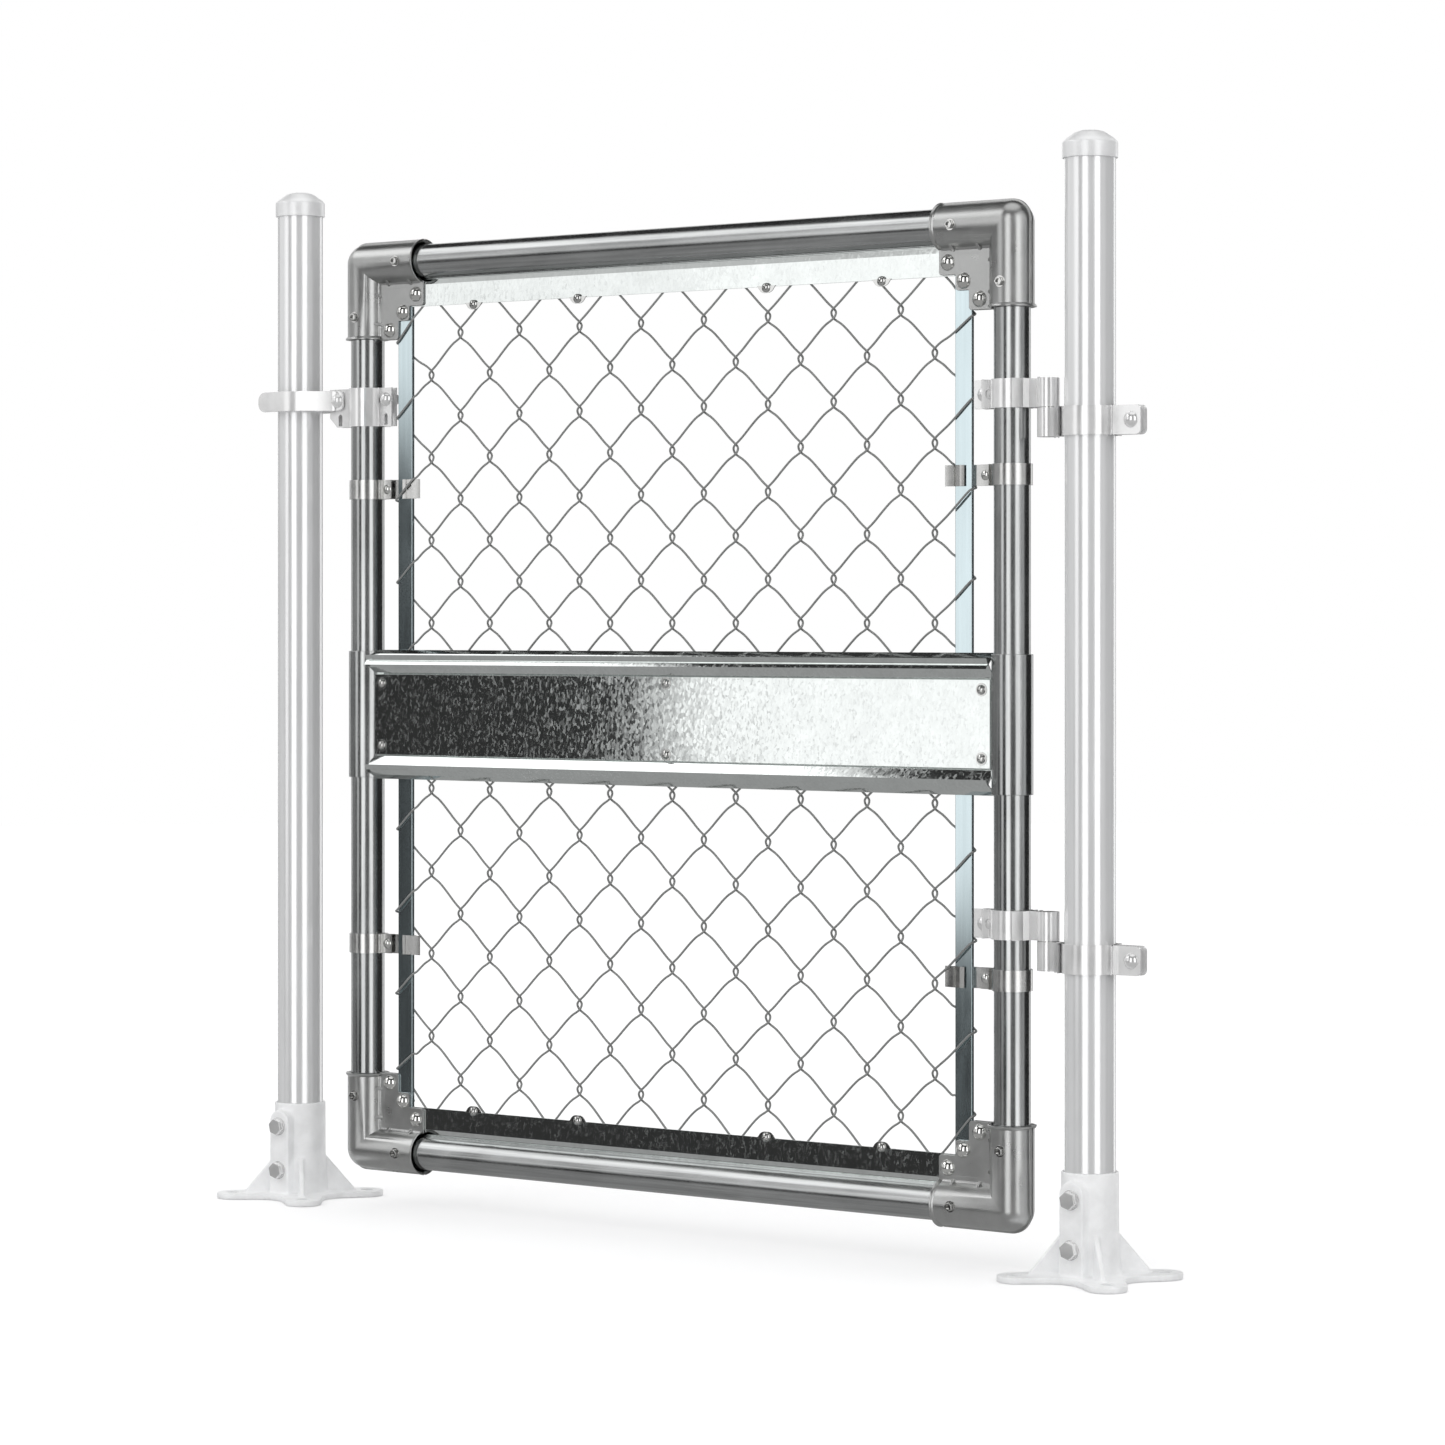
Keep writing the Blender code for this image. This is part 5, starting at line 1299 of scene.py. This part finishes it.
class GATE_OT_strips(bpy.types.Operator):
    """Make the strips that hold the mesh's ends"""

    bl_idname = "gate.strips"
    bl_label = "Mesh strips"

    def execute(self, context):
        make_strips()
        return {"FINISHED"}


class GATE_OT_tension(bpy.types.Operator):
    """Make the tension bars, bands and bolts"""

    bl_idname = "gate.tension"
    bl_label = "Tension bars and bands"

    def execute(self, context):
        make_tension(context.scene.gate_sizes)
        return {"FINISHED"}


class GATE_OT_fabric(bpy.types.Operator):
    """Weave the wire mesh"""

    bl_idname = "gate.fabric"
    bl_label = "Woven mesh"

    def execute(self, context):
        make_fabric(context.scene.gate_sizes)
        return {"FINISHED"}


class GATE_OT_cross_rail(bpy.types.Operator):
    """Make the sleeves, the ribbed channel and its cover plate"""

    bl_idname = "gate.cross_rail"
    bl_label = "Cross rail"

    def execute(self, context):
        make_cross_rail(context.scene.gate_sizes)
        return {"FINISHED"}


class GATE_OT_hinges(bpy.types.Operator):
    """Make the hinge straps, pins and bolts"""

    bl_idname = "gate.hinges"
    bl_label = "Hinges"

    def execute(self, context):
        make_hinges(context.scene.gate_sizes)
        return {"FINISHED"}


class GATE_OT_latch(bpy.types.Operator):
    """Make the latch clamp and its drop fork"""

    bl_idname = "gate.latch"
    bl_label = "Latch"

    def execute(self, context):
        make_clamp()
        make_fork()
        return {"FINISHED"}


class GATE_OT_stage(bpy.types.Operator):
    """Make the floor, the studio light and the camera"""

    bl_idname = "gate.stage"
    bl_label = "Stage"

    def execute(self, context):
        make_floor()
        make_world()
        make_lamps()
        make_camera()
        return {"FINISHED"}


OPERATORS = (
    GATE_OT_finishes, GATE_OT_posts, GATE_OT_bases, GATE_OT_frame, GATE_OT_corners, GATE_OT_strips,
    GATE_OT_tension, GATE_OT_fabric, GATE_OT_cross_rail, GATE_OT_hinges, GATE_OT_latch, GATE_OT_stage)


class GATE_PT_panel(bpy.types.Panel):
    """Lists the gate's steps, sizes and colours"""

    bl_idname = "GATE_PT_panel"
    bl_label = "Chain Link Gate"
    bl_space_type = "VIEW_3D"
    bl_region_type = "UI"
    bl_category = "Gate"

    def draw(self, context):
        column = self.layout.column()
        for operator in OPERATORS:
            column.operator(operator.bl_idname)
        for group in (context.scene.gate_sizes, context.scene.gate_colours):
            for name in group.bl_rna.properties.keys():
                if name not in ("rna_type", "name"):
                    column.prop(group, name)


CLASSES = (GateSizes, GateColours) + OPERATORS + (GATE_PT_panel,)


def register():
    """Add the classes and the scene's settings."""
    for cls in CLASSES:
        bpy.utils.register_class(cls)
    bpy.types.Scene.gate_sizes = bpy.props.PointerProperty(type=GateSizes)
    bpy.types.Scene.gate_colours = bpy.props.PointerProperty(type=GateColours)


def unregister():
    """Take the classes and settings away again."""
    del bpy.types.Scene.gate_colours
    del bpy.types.Scene.gate_sizes
    for cls in reversed(CLASSES):
        bpy.utils.unregister_class(cls)


def main():
    """Make every piece in order, then the stage."""
    register()
    for operator in OPERATORS:
        group, name = operator.bl_idname.split(".")
        getattr(getattr(bpy.ops, group), name)()


if __name__ == "__main__":
    main()
